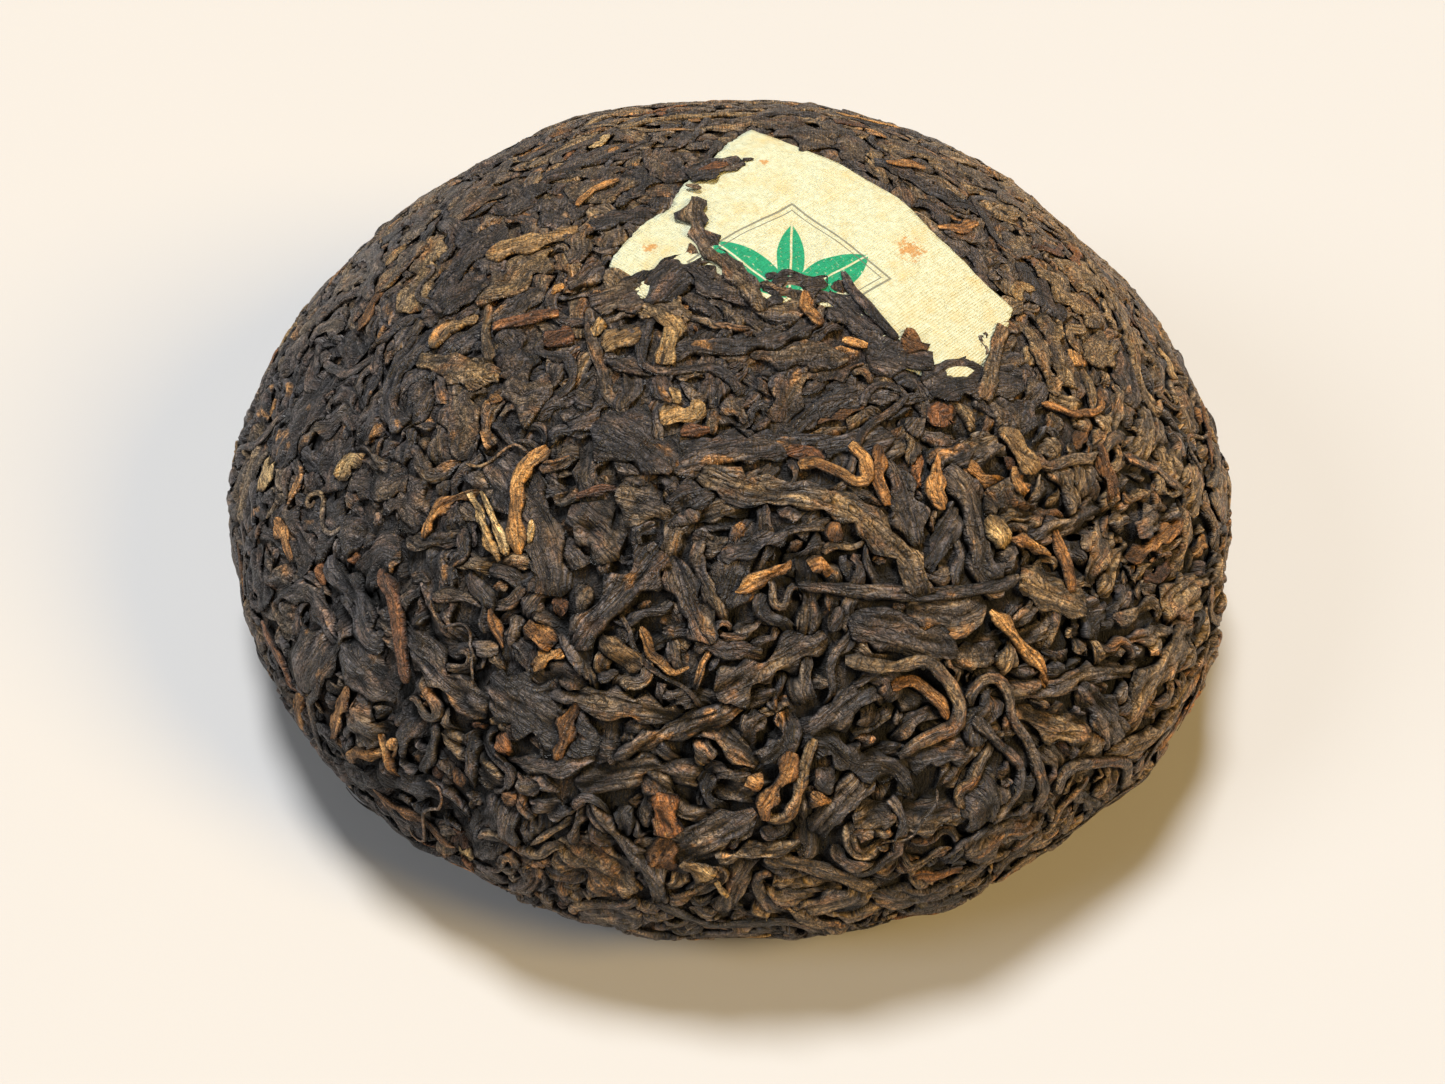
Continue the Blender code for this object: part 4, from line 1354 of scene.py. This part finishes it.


PIECES = {
    "rolled": Finish("rolled_leaves", 0.30),
    "short": Finish("short_leaves", 0.34),
    "curled": Finish("curled_leaves", 0.36),
    "scraps": Finish("leaf_scraps", 0.36, across=1.3),
    "broad": Finish("broad_leaves", 0.30, across=1.2),
    "matted": Finish("matted_leaves", 0.36, across=3.0),
    "stems": Finish("tea_stems", 0.42),
    "crumbs": Finish("leaf_crumbs", 0.40, across=2.0),
    "golden": Finish("golden_buds", 0.40, 1.0, GOLD, WARM_GOLD, 0.62, 0.62),
    "straw": Finish("straw_leaves", 0.35, 1.0, STRAW, WARM_STRAW, 0.62, 0.62),
    "red": Finish("reddish_leaves", 0.40, 1.0, RED, WARM_RED, 0.60, 0.55),
    "under": Finish("underside_leaves", 0.32),
    "packed": Finish("packed_core", 0.32, across=2.5),
}


class LeafNodes(Nodes):
    """The nodes of one piece's leaves. Their colour and their relief share the patterns along a leaf."""

    def __init__(self, finish):
        super().__init__(finish.name)
        self.finish = finish
        self.grain = self.attribute("grain")
        # ridge carries each leaf's painted ridge light, press its pressed share
        self.tint, self.ridge, self.press = self.split(self.attribute("leaf"))
        cloth_x, cloth_y, self.depth = self.split(self.attribute("cloth"))
        self.fibres = self.along_leaf((4.6, 1.3, 1.0), 3.0, 0.65)
        self.pebbles = self.along_leaf((4.8, 3.6, 1.0), 3.0, 0.8)
        folded = self.scaled(self.grain, (1.0, finish.across, 1.0))
        self.folds = self.crease(self.scaled(folded, (1.5, 0.34, 1.0)), 0.10)
        self.wrinkles = self.crease(self.scaled(folded, (1.5, 1.2, 1.0)), 0.07)
        self.pleats = self.crease(self.scaled(folded, (1.9, 0.32, 1.0)), 0.30)
        self.threads = self.product(self.weave(cloth_x, cloth_y), self.press)

    def along_leaf(self, scale, *settings):
        """Noise in each leaf's own directions: across it, along it and from leaf to leaf."""
        return self.noise(self.scaled(self.grain, scale), 1.0, *settings)

    def leaf_colour(self):
        """The piece's colours, mottled, with warm and gilded patches on the lit ridges: partly leaf tone,
        partly painted highlight.
        """
        mottle = self.range(self.along_leaf((0.8, 0.3, 1.0), 3.0), 0.34, 0.66, -0.34, 0.30)
        colour = self.ramp(self.total(self.tint, mottle), self.finish.stops)
        start = 0.62 - 0.3 * self.finish.warm_share
        warm_patches_and_highlights = self.product(
            self.range(self.along_leaf((0.6, 0.35, 1.7), 4.0, 0.6), start, start + 0.16),
            self.range(self.ridge, 0.1, 0.8, 0.2, 1.0),
            self.range(self.tint, 0.25, 0.6, 0.25, 1.0),
            self.range(self.press, 0.0, 1.0, 1.0, 0.55),
        )
        colour = self.mix(warm_patches_and_highlights, colour, self.finish.warm)
        gilt_and_highlight = self.range(self.along_leaf((0.45, 0.25, 2.3), 3.0), 0.64, 0.70)
        return self.mix(self.product(gilt_and_highlight, self.range(self.ridge, 0.1, 0.7, 0.0, 0.85)), colour, GILT_AND_HIGHLIGHT)

    def light(self):
        """How light a place is: a grainy tone along the leaf, with painted shade in its creases, in the
        valleys between its folds, between the threads of the cloth's imprint and deep below the cloth,
        painted light on its ridges, and a faint painted sheen where it is pressed.
        """
        crease_light = self.finish.crease_light
        contrast = 0.95 * (1 - crease_light) ** 2
        return self.product(
            self.range(self.fibres, 0.3, 0.7, 0.88, 1.12),
            self.range(self.pebbles, 0.37, 0.63, 0.42, 1.78),
            # from here on: painted shade in the creases and deep below the cloth, painted light and shade
            # across the folds and the cloth's threads, and a faint painted sheen where pressed
            self.range(self.folds, 0.0, 1.0, crease_light, 1.0),
            self.range(self.wrinkles, 0.0, 1.0, crease_light + 0.12, 1.0),
            self.range(self.pleats, 0.0, 1.0, 0.62, 1.40),
            self.range(self.ridge, 0.0, 0.9, 0.14, 1.28),
            self.range(self.depth, 0.0, 0.85, 1.56, 0.02),
            self.range(self.threads, -1.0, 1.0, 1 - contrast, 1 + contrast),
            self.range(self.press, 0.0, 1.0, 0.99, 1.04),
        )

    def dusted(self, colour):
        """A colour with pale specks, partly dust and partly painted glints, fewer the deeper they would
        lie.
        """
        specks = self.range(self.along_leaf((7.0, 7.0, 1.0), 1.0), 0.72, 0.77)
        return self.mix(self.product(specks, self.range(self.depth, 0.0, 1.0, 0.7, 0.0)), colour, DUST_AND_GLINT)

    def relief(self):
        heights = (
            (self.fibres, 0.2),
            (self.pebbles, 1.3),
            (self.folds, 0.6),
            (self.pleats, 1.2),
            (self.wrinkles, 0.5),
            (self.threads, 0.50),
        )
        return self.total(*(self.product(pattern, height) for pattern, height in heights))


def leaf_material(finish):
    """Dry leaf: creases and fibres along it, warm patches that are partly painted highlights, dust with
    painted glints, painted shade in the creases and deep gaps, and the cloth's imprint where pressed.
    """
    n = LeafNodes(finish)
    light = n.light()
    tone_and_painted_shade = n.add("ShaderNodeCombineColor", None, i0=light, i1=light, i2=light).outputs[0]
    colour = n.dusted(n.mix(1.0, n.leaf_colour(), tone_and_painted_shade, "MULTIPLY"))
    rough = n.range(n.pebbles, 0.35, 0.65, finish.roughness + 0.14, finish.roughness - 0.12)
    rough = n.math("ADD", rough, n.range(n.depth, 0.15, 0.8, 0.0, 0.4), clamp=True)
    n.look(Base_Color=colour, Roughness=rough, Specular_IOR_Level=0.52)
    n.bump(n.relief(), 0.36)
    return n.material


# ---- the ticket's paper, with a made-up print: a green sprig in a dark lozenge

PAPER = ((0.36, (0.51, 0.505, 0.325)), (0.60, (0.655, 0.69, 0.515)))
SMUDGE, STAIN, SPECK = (0.62, 0.48, 0.20), (0.52, 0.25, 0.07), (0.18, 0.09, 0.035)
PRINT_GREEN = ((0.35, (0.012, 0.25, 0.125)), (0.65, (0.020, 0.35, 0.175)))
PRINT_DARK = (0.13, 0.13, 0.11)
PRINT_PIXEL = (791, 262)
PRINT_BASE = (0.0, -3.4)  # where the printed leaves start
PRINTED_LEAVES = ((90, 8.6, 2.1), (136, 8.2, 3.3), (44, 8.2, 3.3))  # turn in degrees, length, width
PRINTED_LINES = ((7.6, 0.13), (6.9, 0.07))  # half the lozenge's diagonal, width of its line
STAINS = (((912, 247), 1.0), ((648, 242), 0.5), ((764, 160), 0.35))  # pixel, reach


def printed_leaf(n, x, y, turn, length, width):
    """1 within a leaf shape that starts at the base: where two circles overlap, but for its midrib."""
    c, d = math.cos(turn), math.sin(turn)
    dx, dy = n.less(x, PRINT_BASE[0]), n.less(y, PRINT_BASE[1])
    along = n.less(n.total(n.product(dx, c), n.product(dy, d)), length / 2)
    across = n.size(n.less(n.product(dy, c), n.product(dx, d)))
    half = width / 2
    radius = ((length / 2) ** 2 + half**2) / (2 * half)
    away = n.total(across, radius - half)
    reach = n.math("SQRT", n.total(n.math("POWER", along, 2.0), n.math("POWER", away, 2.0)))
    inside = n.range(reach, radius - 0.03, radius + 0.03, 1.0, 0.0)
    return n.product(inside, n.range(across, 0.05, 0.11))


def printed_line(n, x, y, half, line):
    """1 along the thin edge of a lozenge."""
    off = n.size(n.less(n.total(n.size(x), n.size(y)), half))
    return n.range(off, line * 0.7, line * 1.4, 1.0, 0.0)


def place_of(pixel):
    """The place on the ticket that the camera sees at a pixel, for a node."""
    return *(float(value) for value in on_ticket([pixel])[0]), 0


def highest(n, values):
    """The highest of some values at each place."""
    result = values[0]
    for value in values[1:]:
        result = n.math("MAXIMUM", result, value)
    return result


def stained(n, flat, colour):
    """The paper's colour with its stains."""
    for pixel, reach in STAINS:
        middle = place_of(pixel)
        off = n.add("ShaderNodeVectorMath", {"operation": "DISTANCE"}, i0=flat, i1=middle)
        uneven = n.range(n.noise(flat, 2.2, 4.0, 0.7), 0.3, 0.7, -reach, reach)
        torn = n.total(off.outputs["Value"], uneven)
        colour = n.mix(n.range(torn, reach * 0.6, reach * 1.2, 0.85, 0.0), colour, STAIN)
    return colour


def printed(n, flat, fibre, colour):
    """The paper's colour with the print on it, upright to the camera."""
    upright = n.add(
        "ShaderNodeMapping",
        {"vector_type": "TEXTURE"},
        Vector=flat,
        Location=place_of(PRINT_PIXEL),
        Rotation=(0, 0, -TICKET_TURN),
    )
    x, y, _ = n.split(upright.outputs[0])
    leaves = [printed_leaf(n, x, y, math.radians(turn), *size) for turn, *size in PRINTED_LEAVES]
    wear = n.range(n.noise(flat, 3.0, 3.0, 0.6), 0.28, 0.40, 0.2, 1.0)
    colour = n.mix(n.product(highest(n, leaves), wear), colour, n.ramp(fibre, PRINT_GREEN))
    lines = highest(n, [printed_line(n, x, y, *size) for size in PRINTED_LINES])
    return n.mix(n.product(lines, 0.8), colour, PRINT_DARK)


def paper_material():
    n = Nodes("slip_paper")
    uv = n.add("ShaderNodeUVMap", {"uv_map": "UVMap"}).outputs[0]
    start, span = (-FLAT_SPAN / 2, -FLAT_SPAN / 2, 0), (FLAT_SPAN, FLAT_SPAN, 1)
    flat = n.add("ShaderNodeMapping", None, Vector=uv, Location=start, Scale=span).outputs[0]
    x, y, _ = n.split(flat)
    fibre = n.noise(flat, 1.6, 5.0, 0.65)
    grit = n.noise(flat, 6.5, 2.0, 0.6)
    colour = n.ramp(n.total(n.product(fibre, 0.6), n.product(grit, 0.4)), PAPER)
    smudge = n.range(n.noise(flat, 0.35, 4.0, 0.65), 0.48, 0.70, 0.0, 0.6)
    colour = n.mix(smudge, colour, SMUDGE)
    colour = printed(n, flat, fibre, stained(n, flat, colour))
    specks = n.range(n.noise(flat, 3.6, 2.0, 0.5), 0.72, 0.75)
    colour = n.mix(n.product(specks, 0.8), colour, SPECK)
    n.look(Base_Color=colour, Roughness=0.85, Specular_IOR_Level=0.25)
    height = n.total(
        fibre,
        n.product(n.weave(x, y), 0.16),
        n.product(grit, 0.5),
        n.product(n.crease(n.scaled(flat, (0.20, 0.30, 1.0)), 0.2), 0.5),
    )
    n.bump(height, 0.25)
    return n.material


# ---- floor and light

FLOOR_SIZE = 10.0  # metres
FLOOR_COLOUR = (0.46, 0.46, 0.46, 1)
BACKDROP_RADIUS = 4.0  # metres
BACKDROP_COLOUR = (0.97, 0.865, 0.745, 1)
AMBIENT_COLOUR = (1.0, 0.97, 0.93, 1)
AMBIENT_STRENGTH = 0.08

# Far lights: the side that they shine from, strength, spread in degrees, colour
LIGHTS = {
    "key": ((-0.06, 0.15, 0.50), 4.05, 16, (0.99, 0.985, 0.98)),
    "left": ((-0.46, -0.20, 0.36), 1.2, 24, (0.90, 0.95, 1.0)),
    "right": ((0.42, -0.18, 0.36), 2.9, 24, (1.0, 0.67, 0.25)),
    "front": ((0.12, -0.45, 0.10), 0.2, 36, (1.0, 0.60, 0.32)),
}


def make_floor():
    mesh = bpy.data.meshes.new("floor")
    half = FLOOR_SIZE / 2
    corners = [(-half, -half, 0), (half, -half, 0), (half, half, 0), (-half, half, 0)]
    mesh.from_pydata(corners, [], [(0, 1, 2, 3)])
    floor = add_object("floor", mesh)
    n = Nodes("pale_floor")
    n.look(Base_Color=FLOOR_COLOUR, Roughness=0.8)
    mesh.materials.append(n.material)


def make_backdrop():
    """A pale dome far away that only the camera sees, so that low views have no dark horizon."""
    shape = bmesh.new()
    bmesh.ops.create_uvsphere(shape, u_segments=48, v_segments=24, radius=BACKDROP_RADIUS)
    mesh = bpy.data.meshes.new("backdrop")
    shape.to_mesh(mesh)
    shape.free()
    backdrop = add_object("backdrop", mesh)
    n = Nodes("pale_backdrop")
    n.look(Base_Color=(0, 0, 0, 1), Specular_IOR_Level=0)
    n.look(Emission_Color=BACKDROP_COLOUR, Emission_Strength=1)
    mesh.materials.append(n.material)
    for kind_of_ray in ("diffuse", "glossy", "transmission", "volume_scatter", "shadow"):
        setattr(backdrop, "visible_" + kind_of_ray, False)


def make_light():
    """Far soft lights, which light the floor evenly, and a weak light from everywhere."""
    for name, (place, strength, spread, colour) in LIGHTS.items():
        data = bpy.data.lights.new(name, "SUN")
        data.energy = strength
        data.angle = math.radians(spread)
        data.color = colour
        light = add_object(name, data)
        light.location = place
        light.rotation_euler = (-Vector(place)).to_track_quat("-Z", "Y").to_euler()
    world = bpy.data.worlds.new("world")
    world.use_nodes = True
    background = world.node_tree.nodes["Background"]
    background.inputs["Color"].default_value = AMBIENT_COLOUR
    background.inputs["Strength"].default_value = AMBIENT_STRENGTH
    bpy.context.scene.world = world
    bpy.context.scene.view_settings.view_transform = "Standard"


# ---- putting it together


def main():
    make_camera()
    make_floor()
    make_backdrop()
    make_light()
    heaps = {key: Heap() for key in PIECES}
    bed = make_upper(heaps)
    make_under(heaps)
    for key, finish in PIECES.items():
        piece = mesh_of(finish.name, heaps[key])
        piece.data.materials.append(leaf_material(finish))
        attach(piece, "root")
        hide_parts("tea_body")
    slip = make_ticket(bed)
    slip.data.materials.append(paper_material())
    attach(slip, "root")
    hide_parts("paper_ticket")


main()
